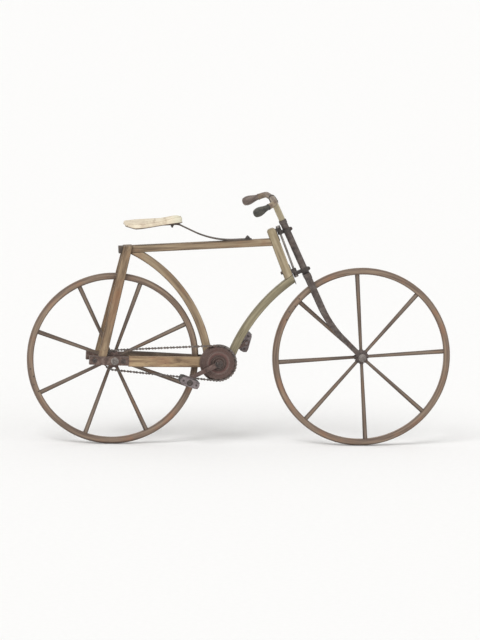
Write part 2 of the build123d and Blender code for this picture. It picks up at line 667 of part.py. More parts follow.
# Fork: a round post with a socket for the stem, a crown over the wheel and two bent flat blades
stem_foot = along(fork_top, FORK_LEAN_ANGLE, -STEM_SOCKET)
with BuildPart() as fork_post:
    with BuildSketch(cross_plane(post_bottom, FORK_LEAN_ANGLE)):
        Circle(FORK_POST_RADIUS)
    extrude(amount=post_length)
    with BuildSketch(cross_plane(stem_foot, FORK_LEAN_ANGLE)):
        Circle(STEM_TENON_RADIUS)
    extrude(amount=STEM_SOCKET, mode=Mode.SUBTRACT)
save(fork_post, "fork_post")

crown_middle = along(post_bottom, FORK_LEAN_ANGLE, -CROWN_HEIGHT / 2)
with BuildPart() as fork_crown:
    with BuildSketch(side_plane(BLADE_INNER, crown_middle, FORK_LEAN_ANGLE)):
        RectangleRounded(CROWN_DEPTH, CROWN_HEIGHT, BAR_ROUNDING)
    extrude(amount=2 * BLADE_INNER)
save(fork_crown, "fork_crown")

blade_bend = along(post_bottom, FORK_LEAN_ANGLE, -BLADE_STRAIGHT)
blade_lean = degrees(atan2(front_axle[0] - blade_bend[0], blade_bend[1] - front_axle[1]))
bend_lean = (FORK_LEAN_ANGLE + blade_lean) / 2
bend_half = (BLADE_TOP_WIDTH + BLADE_EYE_WIDTH) / 4 / cos(radians(blade_lean - bend_lean))
blade_radius = bend_radius(post_bottom, blade_bend, front_axle, BLADE_BEND_REACH)
blade_edges = [
    (
        along(post_bottom, FORK_LEAN_ANGLE, 0, edge * BLADE_TOP_WIDTH / 2),
        along(blade_bend, bend_lean, 0, edge * bend_half),
        along(front_axle, blade_lean, 0, edge * BLADE_EYE_WIDTH / 2),
    )
    for edge in (-1, 1)
]
for side, sign in SIDES.items():
    with BuildPart() as blade:
        with BuildSketch(flank_plane(sign, BLADE_INNER, blade_outer)):
            with BuildLine():
                back = FilletPolyline(*blade_edges[0], radius=blade_radius)
                front = FilletPolyline(*blade_edges[1], radius=blade_radius)
                Line(back @ 0, front @ 0)
                Line(back @ 1, front @ 1)
            make_face()
            with Locations(front_axle):
                Circle(BLADE_EYE_RADIUS)
                Circle(AXLE_RADIUS, mode=Mode.SUBTRACT)
        extrude(amount=BLADE_THICKNESS)
    save(blade, f"fork_blade_{side}")

# Handlebar: bent in one plane that rises towards the front, with a turned grip on each end
bar_middle = along(fork_top, FORK_LEAN_ANGLE, STEM_RISE)
bar_plane = cross_plane(bar_middle, HANDLEBAR_TILT_ANGLE)
bar_corner = Vector(-HANDLEBAR_CORNER_BEHIND, HANDLEBAR_CORNER_OUT)
bar_sweep = Vector(cos(radians(HANDLEBAR_SWEEP_ANGLE)), sin(radians(HANDLEBAR_SWEEP_ANGLE)))
grip_start = bar_corner + bar_sweep * (HANDLEBAR_CORNER_REACH + HANDLEBAR_TAIL)
bar_points = [
    (grip_start.X, -grip_start.Y),
    (bar_corner.X, -bar_corner.Y),
    (0, 0),
    (bar_corner.X, bar_corner.Y),
    (grip_start.X, grip_start.Y),
]
bar_reaches = (HANDLEBAR_CORNER_REACH, HANDLEBAR_MIDDLE_REACH, HANDLEBAR_CORNER_REACH)
bar_radii = [bend_radius(*bar_points[n : n + 3], reach) for n, reach in enumerate(bar_reaches)]

with BuildPart() as handlebar:
    with BuildLine(bar_plane):
        FilletPolyline(*bar_points, radius=bar_radii)
    bar_end = bar_plane.from_local_coords(Vector(grip_start.X, -grip_start.Y))
    bar_ahead = bar_plane.from_local_coords(Vector(-bar_sweep.X, bar_sweep.Y)) - bar_plane.origin
    with BuildSketch(Plane(bar_end, z_dir=bar_ahead)):
        Circle(HANDLEBAR_RADIUS)
    sweep()
save(handlebar, "handlebar")

for side, sign in SIDES.items():
    grip_origin = bar_plane.from_local_coords(Vector(grip_start.X, sign * grip_start.Y))
    grip_line = bar_plane.from_local_coords(Vector(bar_sweep.X, sign * bar_sweep.Y)) - bar_plane.origin
    with BuildPart() as grip:
        with BuildSketch(Plane(grip_origin, x_dir=grip_line, z_dir=bar_plane.z_dir)):
            with BuildLine():
                Polyline((GRIP_LENGTH, GRIP_TIP_RADIUS), (GRIP_LENGTH, 0), (0, 0), (0, GRIP_WAIST_RADIUS))
                ThreePointArc(
                    (0, GRIP_WAIST_RADIUS),
                    (GRIP_BELLY_PLACE * GRIP_LENGTH, GRIP_BELLY_RADIUS),
                    (GRIP_LENGTH, GRIP_TIP_RADIUS),
                )
            make_face()
        revolve(axis=Axis(grip_origin, grip_line))
    save(grip, f"grip_{side}")

# Stem: a wooden post with a tenon in the fork's socket and a hollow top that the handlebar lies in
with BuildPart() as stem:
    with BuildSketch(cross_plane(stem_foot, FORK_LEAN_ANGLE)):
        Circle(STEM_TENON_RADIUS)
    extrude(amount=STEM_SOCKET)
    with BuildSketch(cross_plane(fork_top, FORK_LEAN_ANGLE)):
        Circle(STEM_RADIUS)
    extrude(amount=STEM_RISE - STEM_BELOW_BAR)
    add(handlebar.part, mode=Mode.SUBTRACT)
save(stem, "stem")

# Crank set
crank_outer = CRANK_INNER + CRANK_THICKNESS
with BuildPart() as crank_spindle:
    with Locations(side_plane(0, bracket)):
        Cylinder(SPINDLE_RADIUS, 2 * crank_outer)
save(crank_spindle, "crank_spindle")

with BuildPart() as chainwheel:
    with BuildSketch(side_plane(-CHAIN_OUT, bracket)):
        toothed_ring(chainwheel_pitch, CHAINWHEEL_TEETH, RING_INNER)
    extrude(amount=TOOTH_THICKNESS / 2, both=True)
    with BuildSketch(side_plane(-CHAIN_OUT, bracket)):
        Circle(RING_INNER)
    extrude(amount=WEB_THICKNESS / 2, both=True)
    with BuildSketch(side_plane(-CHAIN_OUT, bracket)):
        Circle(chainwheel_pitch - tip_below_pitch - FLANGE_BELOW_TIP)
        Circle(RING_INNER, mode=Mode.SUBTRACT)
    extrude(amount=CHAINWHEEL_FLANGE / 2, both=True)
    with BuildSketch(side_plane(-CHAIN_OUT, bracket)):
        Circle(CHAINWHEEL_BEAD_RADIUS)
        Circle(CHAINWHEEL_BEAD_RADIUS - CHAINWHEEL_BEAD_WIDTH, mode=Mode.SUBTRACT)
    extrude(amount=CHAINWHEEL_BEAD_HEIGHT)
    with BuildSketch(side_plane(-CHAIN_OUT + TOOTH_THICKNESS / 2, bracket)):
        Circle(CHAINWHEEL_BOSS_RADIUS)
    extrude(amount=CRANK_INNER - CHAIN_OUT + TOOTH_THICKNESS / 2)
    with Locations(side_plane(0, bracket)):
        Cylinder(SPINDLE_RADIUS, 4 * CRANK_INNER, mode=Mode.SUBTRACT)
save(chainwheel, "chainwheel")

pedal_outer = PEDAL_INNER + PEDAL_WIDTH
pedal_cap = pedal_outer - PEDAL_PLATE
block_offset = (PEDAL_LENGTH - PEDAL_BLOCK_DEPTH) / 2
lobe_offset = PEDAL_LENGTH / 2 - PEDAL_BLOCK_HEIGHT / 2
for side, sign in SIDES.items():
    turn = RIGHT_CRANK_ANGLE if side == "right" else RIGHT_CRANK_ANGLE - 180
    pedal_axle = along(bracket, turn, 0, CRANK_LENGTH)
    with BuildPart() as crank:
        with BuildSketch(flank_plane(sign, CRANK_INNER, crank_outer, bracket, turn)):
            Polygon(
                (0, -CRANK_BOSS_WIDTH / 2),
                (CRANK_LENGTH, -CRANK_EYE_WIDTH / 2),
                (CRANK_LENGTH, CRANK_EYE_WIDTH / 2),
                (0, CRANK_BOSS_WIDTH / 2),
                align=None,
            )
            Circle(CRANK_BOSS_RADIUS)
            Circle(SPINDLE_RADIUS, mode=Mode.SUBTRACT)
            with Locations((CRANK_LENGTH, 0)):
                Circle(CRANK_EYE_RADIUS)
                Circle(PEDAL_SPINDLE_RADIUS, mode=Mode.SUBTRACT)
        extrude(amount=CRANK_THICKNESS)
    save(crank, f"crank_{side}")

    spindle_end = pedal_cap - FACE_GAP
    with BuildPart() as pedal_spindle:
        with BuildSketch(flank_plane(sign, CRANK_INNER, spindle_end, pedal_axle)):
            Circle(PEDAL_SPINDLE_RADIUS)
        extrude(amount=spindle_end - CRANK_INNER)
    save(pedal_spindle, f"pedal_spindle_{side}")

    # Pedal: a barrel with an iron plate at each end, and two blocks between the plates
    tilt = RIGHT_PEDAL_ANGLE if side == "right" else LEFT_PEDAL_ANGLE
    with BuildPart() as pedal_cage:
        for near in (PEDAL_INNER, pedal_cap):
            with BuildSketch(flank_plane(sign, near, near + PEDAL_PLATE, pedal_axle, tilt)):
                with Locations((-lobe_offset, 0), (lobe_offset, 0)):
                    Circle(PEDAL_BLOCK_HEIGHT / 2 + PEDAL_RIM)
                make_hull()
            extrude(amount=PEDAL_PLATE)
        with BuildSketch(flank_plane(sign, PEDAL_INNER, pedal_cap, pedal_axle)):
            Circle(PEDAL_BARREL_RADIUS)
        extrude(amount=PEDAL_WIDTH - PEDAL_PLATE)
        with BuildSketch(flank_plane(sign, PEDAL_INNER, pedal_cap, pedal_axle)):
            Circle(PEDAL_SPINDLE_RADIUS + RUNNING_GAP)
        extrude(amount=PEDAL_WIDTH - PEDAL_PLATE, mode=Mode.SUBTRACT)
    save(pedal_cage, f"pedal_cage_{side}")

    with BuildPart() as pedal_blocks:
        with BuildSketch(flank_plane(sign, PEDAL_INNER + PEDAL_PLATE, pedal_cap, pedal_axle, tilt)):
            with Locations((-block_offset, 0), (block_offset, 0)):
                RectangleRounded(PEDAL_BLOCK_DEPTH, PEDAL_BLOCK_HEIGHT, PEDAL_BLOCK_ROUNDING)
        extrude(amount=PEDAL_WIDTH - 2 * PEDAL_PLATE)
    save(pedal_blocks, f"pedal_blocks_{side}")

# Chain: one closed loop of blocks, each pair of neighbours joined by two side links
chain_lift = degrees(asin((chainwheel_pitch - sprocket_pitch) / stay_span))
upper_lean = stay_angle + chain_lift
lower_lean = stay_angle - chain_lift
with BuildLine(side_plane(-CHAIN_OUT)) as chain_line:
    upper_run = Line(
        along(rear_axle, upper_lean, sprocket_pitch),
        along(bracket, upper_lean, chainwheel_pitch),
    )
    lower_run = Line(
        along(bracket, lower_lean, -chainwheel_pitch),
        along(rear_axle, lower_lean, -sprocket_pitch),
    )
    ThreePointArc(
        along(bracket, upper_lean, chainwheel_pitch),
        along(bracket, stay_angle, 0, chainwheel_pitch),
        along(bracket, lower_lean, -chainwheel_pitch),
    )
    ThreePointArc(
        along(rear_axle, lower_lean, -sprocket_pitch),
        along(rear_axle, stay_angle, 0, -sprocket_pitch),
        along(rear_axle, upper_lean, sprocket_pitch),
    )
chain_loop = chain_line.wire()
links = round(chain_loop.length / CHAIN_PITCH)


def chain_places(shift):
    """Places and turns of all the pitches in the side view, shifted by a part of one."""
    fractions = [((n + shift) / links) % 1 for n in range(links)]
    headings = [chain_loop % fraction for fraction in fractions]
    points = [chain_loop @ fraction for fraction in fractions]
    return [
        Location((point.X, point.Z, 0), (0, 0, degrees(atan2(heading.Z, heading.X))))
        for point, heading in zip(points, headings)
    ]


with BuildPart() as chain:
    with BuildSketch(side_plane(-CHAIN_OUT)):
        with Locations(*chain_places(0)):
            Rectangle(BLOCK_LENGTH, BLOCK_HEIGHT)
    extrude(amount=BLOCK_THICKNESS / 2, both=True)
    for link_side in (BLOCK_THICKNESS / 2 + LINK_THICKNESS, -BLOCK_THICKNESS / 2):
        with BuildSketch(side_plane(-CHAIN_OUT + link_side)):
            with Locations(*chain_places(0.5)):
                Polygon(
                    (-LINK_LENGTH / 2, 0),
                    (-LINK_FLAT / 2, -LINK_HEIGHT / 2),
                    (LINK_FLAT / 2, -LINK_HEIGHT / 2),
                    (LINK_LENGTH / 2, 0),
                    (LINK_FLAT / 2, LINK_HEIGHT / 2),
                    (-LINK_FLAT / 2, LINK_HEIGHT / 2),
                    align=None,
                )
        extrude(amount=LINK_THICKNESS)
save(chain, "chain")

# Saddle: a pear-shaped pad on a thin pan, on a leaf spring that runs forward to the top bar
saddle_plane = cross_plane((0, 0), SADDLE_TILT_ANGLE)
rear_corner = SADDLE_CORNER_RADIUS - SADDLE_REAR
nose_corner = SADDLE_NOSE - SADDLE_NOSE_RADIUS
side_corner = SADDLE_REAR_HALF - SADDLE_CORNER_RADIUS


def saddle_outline(inset):
    """Draws the saddle's plan on the sketch that is open, smaller all round by the inset."""
    with Locations((rear_corner, -side_corner), (rear_corner, side_corner)):
        Circle(SADDLE_CORNER_RADIUS - inset)
    with Locations((nose_corner, 0)):
        Circle(SADDLE_NOSE_RADIUS - inset)
    make_hull()


with BuildPart() as saddle_pad:
    with BuildSketch(saddle_plane):
        saddle_outline(0)
    extrude(amount=-SADDLE_PAD)
    fillet(saddle_pad.faces().sort_by(Axis.Z)[-1].edges(), SADDLE_PAD_ROUNDING)
save(saddle_pad, "saddle_pad")

with BuildPart() as saddle_pan:
    with BuildSketch(saddle_plane.offset(-SADDLE_PAD)):
        saddle_outline(SADDLE_PAN_INSET)
    extrude(amount=-SADDLE_PAN)
save(saddle_pan, "saddle_pan")

leaf_low = along((0, 0), SADDLE_TILT_ANGLE, -SADDLE_PAD - SADDLE_PAN - LEAF_THICKNESS / 2)
leaf_end = along(bar_nose, bar_slope, (TOP_BAR_DEPTH + LEAF_THICKNESS) / 2, -LEAF_HEAD_GAP)
leaf_bend = along(leaf_low, SADDLE_TILT_ANGLE, 0, LEAF_BEND_AHEAD)
leaf_on_bar = LEAF_ON_BAR_SHARE * (leaf_end[0] - leaf_bend[0])
leaf_points = [
    along(leaf_low, SADDLE_TILT_ANGLE, 0, -LEAF_TAIL_BEHIND),
    leaf_bend,
    along(leaf_end, bar_slope, 0, -leaf_on_bar),
    leaf_end,
]
leaf_reaches = (LEAF_SADDLE_BEND_REACH, LEAF_BAR_BEND_SHARE * leaf_on_bar)
leaf_radii = [bend_radius(*leaf_points[n : n + 3], reach) for n, reach in enumerate(leaf_reaches)]
with BuildPart() as leaf_spring:
    with BuildSketch(side_plane(0)):
        with BuildLine() as leaf_line:
            FilletPolyline(*leaf_points, radius=leaf_radii)
        trace(leaf_line.line, line_width=LEAF_THICKNESS)
    extrude(amount=LEAF_WIDTH / 2, both=True)
save(leaf_spring, "leaf_spring")

leaf_bolt_foot = along(leaf_end, bar_slope, LEAF_THICKNESS / 2, -LEAF_BOLT_BEHIND_NOSE)
with BuildPart() as leaf_bolt:
    with BuildSketch(cross_plane(leaf_bolt_foot, bar_slope)):
        RegularPolygon(LEAF_BOLT_RADIUS, 6)
    extrude(amount=LEAF_BOLT_HEIGHT)
save(leaf_bolt, "leaf_bolt")
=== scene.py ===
import json
from math import atan2, cos, degrees, exp, hypot, pi, radians, sin

import bpy
from mathutils import Matrix, Vector, noise


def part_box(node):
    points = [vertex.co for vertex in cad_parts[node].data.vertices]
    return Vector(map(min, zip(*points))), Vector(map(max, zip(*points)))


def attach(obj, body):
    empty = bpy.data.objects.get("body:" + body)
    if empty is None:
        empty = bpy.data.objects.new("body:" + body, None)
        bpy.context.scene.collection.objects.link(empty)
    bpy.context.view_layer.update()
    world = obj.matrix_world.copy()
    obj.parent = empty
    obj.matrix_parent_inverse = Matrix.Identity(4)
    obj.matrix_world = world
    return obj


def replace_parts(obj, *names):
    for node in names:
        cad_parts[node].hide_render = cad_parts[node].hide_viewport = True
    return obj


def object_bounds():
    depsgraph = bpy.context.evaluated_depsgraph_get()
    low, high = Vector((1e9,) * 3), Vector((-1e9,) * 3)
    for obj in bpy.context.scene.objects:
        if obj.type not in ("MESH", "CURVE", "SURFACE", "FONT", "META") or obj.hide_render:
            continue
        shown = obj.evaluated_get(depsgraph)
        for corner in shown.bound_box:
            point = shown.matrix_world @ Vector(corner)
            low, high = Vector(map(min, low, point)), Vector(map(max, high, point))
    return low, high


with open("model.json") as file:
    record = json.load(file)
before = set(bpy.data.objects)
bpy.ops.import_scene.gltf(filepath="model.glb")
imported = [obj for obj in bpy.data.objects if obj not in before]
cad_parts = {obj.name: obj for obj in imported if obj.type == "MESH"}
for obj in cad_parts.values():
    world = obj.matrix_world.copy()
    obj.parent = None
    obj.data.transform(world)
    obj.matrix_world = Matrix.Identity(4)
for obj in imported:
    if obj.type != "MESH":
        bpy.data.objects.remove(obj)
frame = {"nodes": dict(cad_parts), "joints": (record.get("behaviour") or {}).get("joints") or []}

cad_box = [list(corner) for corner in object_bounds()]
nodes = frame["nodes"]
joints = {joint["name"]: joint for joint in frame["joints"]}


def joint_point(name):
    """The place of a joint, in metres."""
    return Vector(joints[name]["pos_m"])


rear_axle = joint_point("rear_wheel_spin")
front_axle = joint_point("front_wheel_spin")
bracket = joint_point("crank_spin")
pedals = {"right": joint_point("right_pedal_spin"), "left": joint_point("left_pedal_spin")}
hinge_middle = joint_point("steering_turn")
AHEAD = Vector((1, 0, 0))
UP = Vector((0, 0, 1))
RIGHT = Vector((0, -1, 0))
LEFT = Vector((0, 1, 0))
SIDES = (("right", -1), ("left", 1))
SIGNS = (-1, 1)

# Sizes that the part's source has too, in metres and degrees
REAR_RADIUS = 0.3555
FRONT_RADIUS = 0.371
RIM_DEPTH = 0.027
RIM_WIDTH = 0.032
SPOKES = 8
REAR_SPOKE_ANGLE = 26.0
FRONT_SPOKE_ANGLE = 4.3
HEAD_LEAN = 21.9
FORK_LEAN = 25.5
BAR_SLOPE = 3.4
STAY_SLOPE = -1.2
SADDLE_TILT = 3.5
GRIP_TILT = 24.0
GRIP_SWEEP = 155.0
GRIP_LENGTH = 0.076
SEAT_TUBE_CENTRE = Vector((-0.3002, 0, -0.6446))
DOWN_TUBE_CENTRE = Vector((1.0390, 0, -0.8135))
SHOE_FACE = 0.089
FORK_END_FACE = 0.040
CRANK_MIDDLE = 0.070
CRANK_FACE = 0.076
CRANK_ANGLES = {"right": 208.0, "left": 28.0}
PEDAL_TILTS = {"right": -20.0, "left": 75.0}
CHAIN_OUT = 0.054
CHAIN_PITCH = 0.0254
CHAINWHEEL_PITCH = 0.073136
SPROCKET_PITCH = 0.041098


def leaning(degrees_back):
    """Unit vectors ahead of and up a line that leans back, in the side view."""
    slant = radians(degrees_back)
    return Vector((cos(slant), 0, sin(slant))), Vector((-sin(slant), 0, cos(slant)))


# Node materials
def rgb(red, green, blue):
    """A colour from 0 to 255 as seen, turned into a linear one."""
    levels = [level / 255 for level in (red, green, blue)]
    return [v / 12.92 if v <= 0.04045 else ((v + 0.055) / 1.055) ** 2.4 for v in levels] + [1.0]


class Net:
    """A material's node tree, with short ways to add nodes to it."""

    def __init__(self, name):
        self.material = bpy.data.materials.new(name)
        self.material.use_nodes = True
        self.tree = self.material.node_tree
        self.shader = self.tree.nodes["Principled BSDF"]
        self.position = self.tree.nodes.new("ShaderNodeTexCoord").outputs["Object"]

    def feed(self, socket, value):
        if isinstance(value, bpy.types.NodeSocket):
            self.tree.links.new(value, socket)
        elif value is not None:
            socket.default_value = rgb(*value) if socket.type == "RGBA" else value

    def node(self, kind, inputs=(), **settings):
        made = self.tree.nodes.new(kind)
        for name, value in settings.items():
            setattr(made, name, value)
        for place, value in dict(inputs).items():
            self.feed(made.inputs[place], value)
        return made

    def math(self, operation, first, second=None, clamp=False):
        made = self.node("ShaderNodeMath", {0: first, 1: second}, operation=operation, use_clamp=clamp)
        return made.outputs[0]

    def times(self, first, second):
        return self.math("MULTIPLY", first, second)

    def dot(self, vector, direction):
        made = self.node("ShaderNodeVectorMath", {0: vector, 1: direction}, operation="DOT_PRODUCT")
        return made.outputs["Value"]

    def from_centre(self, centre):
        """How far ahead of, above and away from a centre a point is in the side view."""
        ahead = self.math("SUBTRACT", self.dot(self.position, AHEAD), centre.x)
        up = self.math("SUBTRACT", self.dot(self.position, UP), centre.z)
        squares = self.math("ADD", self.times(ahead, ahead), self.times(up, up))
        return ahead, up, self.math("SQRT", squares)

    def noise(self, vector, scale, detail=3.0, rough=0.55, w=None):
        inputs = {"Vector": vector, "Scale": scale, "Detail": detail, "Roughness": rough}
        if w is None:
            return self.node("ShaderNodeTexNoise", inputs).outputs[0]
        made = self.node("ShaderNodeTexNoise", inputs, noise_dimensions="4D")
        self.feed(made.inputs["W"], w)
        return made.outputs[0]

    def spread(self, value, low, high, to_low=0.0, to_high=1.0):
        """A value from one range to another, kept inside it."""
        inputs = {"Value": value, "From Min": low, "From Max": high, "To Min": to_low, "To Max": to_high}
        return self.node("ShaderNodeMapRange", inputs).outputs[0]

    def ramp(self, value, stops):
        made = self.node("ShaderNodeValToRGB", {0: value})
        elements = made.color_ramp.elements
        while len(elements) < len(stops):
            elements.new(1.0)
        for element, (place, colour) in zip(elements, stops):
            element.position = place
            element.color = rgb(*colour)
        return made.outputs[0]

    def blend(self, share, first, second, mode="MIX"):
        made = self.node("ShaderNodeMix", {0: share, 6: first, 7: second}, data_type="RGBA", blend_type=mode)
        return made.outputs[2]

    def stain(self, colour, value, low, high, most, tone):
        """Another tone that comes in as a value goes from low to high, up to a share of it."""
        return self.blend(self.spread(value, low, high, 0.0, most), colour, tone)

    def edges(self, radius, low, high):
        """Where the surface turns sharply, from 0 to 1."""
        rounded = self.node("ShaderNodeBevel", {"Radius": radius}, samples=4).outputs[0]
        plain = self.node("ShaderNodeNewGeometry").outputs["Normal"]
        return self.spread(self.dot(rounded, plain), 1 - low, 1 - high)

    def corners(self, distance):
        """How much painted shade goes where other surfaces are close, from 0 to 1."""
        open_share = self.node("ShaderNodeAmbientOcclusion", {"Distance": distance}, samples=6).outputs["AO"]
        return self.spread(open_share, 0.95, 0.3)

    def bump(self, height, strength, distance):
        made = self.node("ShaderNodeBump", {"Strength": strength, "Distance": distance, "Height": height})
        self.feed(self.shader.inputs["Normal"], made.outputs[0])

    def finish(self, colour, roughness, **fixed):
        self.feed(self.shader.inputs["Base Color"], colour)
        self.feed(self.shader.inputs["Roughness"], roughness)
        for name, value in fixed.items():
            self.shader.inputs[name.replace("_", " ")].default_value = value
        return self.material


def straight(lean):
    """Grain along a straight bar that rises by some degrees towards the front."""
    ahead, up = leaning(lean)

    def layout(net):
        side = net.dot(net.position, LEFT)
        return net.dot(net.position, ahead), 0.0, net.dot(net.position, up), side

    return layout


def crosswise():
    """Grain along a bar that lies across the frame."""

    def layout(net):
        along = net.dot(net.position, LEFT)
        return along, 0.0, net.dot(net.position, UP), net.dot(net.position, AHEAD)

    return layout


def around(centre, radius):
    """Grain along a bar or rim that is bent about a centre in the side view."""

    def layout(net):
        ahead, up, reach = net.from_centre(centre)
        first = net.times(net.math("DIVIDE", ahead, reach), radius)
        second = net.times(net.math("DIVIDE", up, reach), radius)
        return first, second, reach, net.dot(net.position, LEFT)

    return layout


def spoked(centre, first_angle):
    """Grain along spokes, another piece of wood for each of them."""

    def layout(net):
        ahead, up, reach = net.from_centre(centre)
        step = 2 * pi / SPOKES
        angle = net.math("SUBTRACT", net.math("ARCTAN2", up, ahead), radians(first_angle) - 4 * pi)
        turns = net.math("DIVIDE", angle, step)
        number = net.math("ROUND", turns)
        across = net.times(net.times(net.math("SUBTRACT", turns, number), step), reach)
        return reach, number, across, net.dot(net.position, LEFT)

    return layout


def wood(name, layout, dark, middle, light, patch, shine=0.35, tail=None, edge=0.6):
    """Worn bare wood: bands and fibres along the grain, weathered patches, painted shade on the bands where
    the surface turns away from the side (as strong as edge asks), and painted shade in corners.
    """
    net = Net(name)
    first, second, across, side = layout(net)

    def grain(lengthwise, widthwise, detail, rough):
        vector = net.node("ShaderNodeCombineXYZ", {
            0: net.times(first, lengthwise),
            1: net.times(second, lengthwise),
            2: net.times(across, widthwise),
        }).outputs[0]
        return net.noise(vector, 1.0, detail, rough, net.times(side, widthwise))

    bands = grain(4.0, 75.0, 4.0, 0.6)
    fibres = grain(16.0, 520.0, 3.0, 0.7)
    checks = grain(7.0, 260.0, 2.0, 0.5)
    patches = net.noise(net.position, 11.0, 4.0, 0.6)
    colour = net.ramp(bands, ((0.30, dark), (0.47, middle), (0.70, light)))
    colour = net.stain(colour, patches, 0.50, 0.72, 0.75, patch)
    colour = net.stain(colour, fibres, 0.52, 0.78, 0.5, dark)
    colour = net.stain(colour, checks, 0.66, 0.74, 0.8, (58, 46, 38))
    if tail is not None:
        colour = net.blend(net.spread(first, tail[0], tail[1], 0.85, 0.0), colour, (72, 66, 64))
    # Painted shade: darker, unevenly, where the surface turns away from the side, as strong as edge asks.
    if edge:
        facing_out = net.math("ABSOLUTE", net.dot(net.node("ShaderNodeNewGeometry").outputs["Normal"], LEFT))
        turned_away = net.times(net.spread(facing_out, 0.97, 0.80), net.spread(facing_out, 0.15, 0.50))
        painted_edge_shade = net.times(turned_away, net.spread(patches, 0.3, 0.7, 0.6 * edge, 1.2 * edge))
        colour = net.blend(painted_edge_shade, colour, dark)
    # Painted shade: darker where other surfaces are close.
    colour = net.blend(net.times(net.corners(0.02), 0.6), colour, (60, 48, 40))
    height = net.math("ADD", net.times(fibres, 0.5), net.times(bands, 0.6))
    height = net.math("SUBTRACT", height, net.spread(checks, 0.64, 0.74, 0.0, 0.8))
    net.bump(height, 0.45, 0.0009)
    return net.finish(colour, net.spread(bands, 0.3, 0.7, 0.62, 0.48), Specular_IOR_Level=shine)


def iron(name, dark, middle, light, rust, rusty=0.5, bare=0.5, metal=0.25, tint=None):
    """Old painted or blackened iron: cloudy tone, rust in spots, bare edges, painted shade where other
    surfaces are close, and a slightly rough skin.
    """
    net = Net(name)
    clouds = net.noise(net.position, 55.0, 5.0, 0.65)
    specks = net.noise(net.position, 330.0, 4.0, 0.6)
    stains = net.noise(net.position, 24.0, 4.0, 0.7)
    colour = net.ramp(clouds, ((0.30, dark), (0.50, middle), (0.74, light)))
    if tint is not None:
        colour = tint(net, colour)
    colour = net.stain(colour, stains, 0.50, 0.68, rusty, rust)
    colour = net.stain(colour, specks, 0.56, 0.74, 0.6, dark)
    worn = net.times(net.edges(0.002, 0.03, 0.3), bare)
    colour = net.blend(worn, colour, (150, 143, 138))
    # Painted shade: darker where other surfaces are close.
    colour = net.blend(net.times(net.corners(0.012), 0.55), colour, (34, 28, 27))
    height = net.math("ADD", net.times(specks, 0.6), net.times(clouds, 0.5))
    net.bump(height, 0.35, 0.0007)
    return net.finish(colour, net.spread(clouds, 0.3, 0.7, 0.46, 0.68), Metallic=metal)


def chainwheel_tint(net, colour):
    """Rings of different tone on the chainwheel's face."""
    share = net.math("DIVIDE", net.from_centre(bracket)[2], CHAINWHEEL_PITCH)
    rings = net.ramp(share, (
        (0.00, (56, 42, 36)), (0.30, (66, 50, 43)), (0.36, (116, 98, 90)), (0.44, (84, 65, 58)),
        (0.52, (98, 58, 54)), (0.60, (122, 103, 96)), (0.70, (80, 60, 54)), (0.92, (92, 73, 66)),
    ))
    return net.blend(0.75, colour, rings)


NOSE_TINT_RUN = (0.105, 0.128)


def leather(name, centre_tone, edge_tone, crease, pale, nose_tint=0.0):
    """Old pale leather: fine pebbled grain, soft stains, crease lines, and painted shade where other surfaces
    are close.
    """
    net = Net(name)
    pores = net.node("ShaderNodeTexVoronoi", {"Vector": net.position, "Scale": 620.0}).outputs["Distance"]
    soft = net.noise(net.position, 26.0, 5.0, 0.6)
    fine = net.noise(net.position, 900.0, 2.0, 0.5)
    inputs = {0: net.position, 1: (40.0, 9.0, 40.0)}
    stretched = net.node("ShaderNodeVectorMath", inputs, operation="MULTIPLY").outputs[0]
    folds = net.noise(stretched, 1.0, 4.0, 0.6)
    colour = net.ramp(soft, ((0.32, edge_tone), (0.52, centre_tone), (0.75, pale)))
    nose = net.spread(net.dot(net.position, AHEAD), *NOSE_TINT_RUN, 0.0, nose_tint)
    colour = net.blend(nose, colour, (212, 213, 192))
    colour = net.stain(colour, folds, 0.60, 0.70, 0.45, crease)
    colour = net.blend(net.spread(pores, 0.0, 0.25, 0.35, 0.0), colour, crease)
    # Painted shade: darker where other surfaces are close.
    colour = net.blend(net.times(net.corners(0.012), 0.6), colour, (120, 98, 76))
    height = net.math("ADD", net.times(pores, 0.7), net.times(fine, 0.2))
    height = net.math("SUBTRACT", height, net.spread(folds, 0.58, 0.72, 0.0, 0.9))
    net.bump(height, 0.4, 0.0006)
    return net.finish(colour, net.spread(soft, 0.3, 0.7, 0.52, 0.66), Specular_IOR_Level=0.4)


FRAME_TONES = ((86, 70, 56), (136, 117, 94), (172, 154, 128), (134, 100, 74))
SEAT_STAY_TONES = ((76, 60, 47), (122, 102, 80), (158, 137, 110), (130, 94, 68))
STAY_TONES = ((92, 72, 56), (148, 124, 96), (182, 160, 124), (150, 112, 88))
# Painted shade: much darker tones for the far (left) chain stay than for the near one, standing in for shade.
SHADED_FAR_STAY_TONES = ((50, 42, 37), (80, 68, 58), (112, 98, 82), (74, 56, 46))
HEAD_TONES = ((104, 92, 74), (151, 136, 111), (180, 167, 140), (136, 122, 94))
DOWN_TUBE_TONES = ((84, 77, 61), (127, 118, 95), (157, 148, 122), (116, 108, 82))
RIM_TONES = ((80, 66, 58), (120, 102, 88), (152, 133, 113), (142, 103, 78))
SPOKE_TONES = ((70, 59, 53), (107, 93, 82), (140, 124, 108), (124, 97, 76))
SEAT_TUBE_BEND = 0.57
DOWN_TUBE_BEND = 0.72
STAY_WIDTH = 0.035
BAR_TAIL_DARK = (0.012, 0.03)

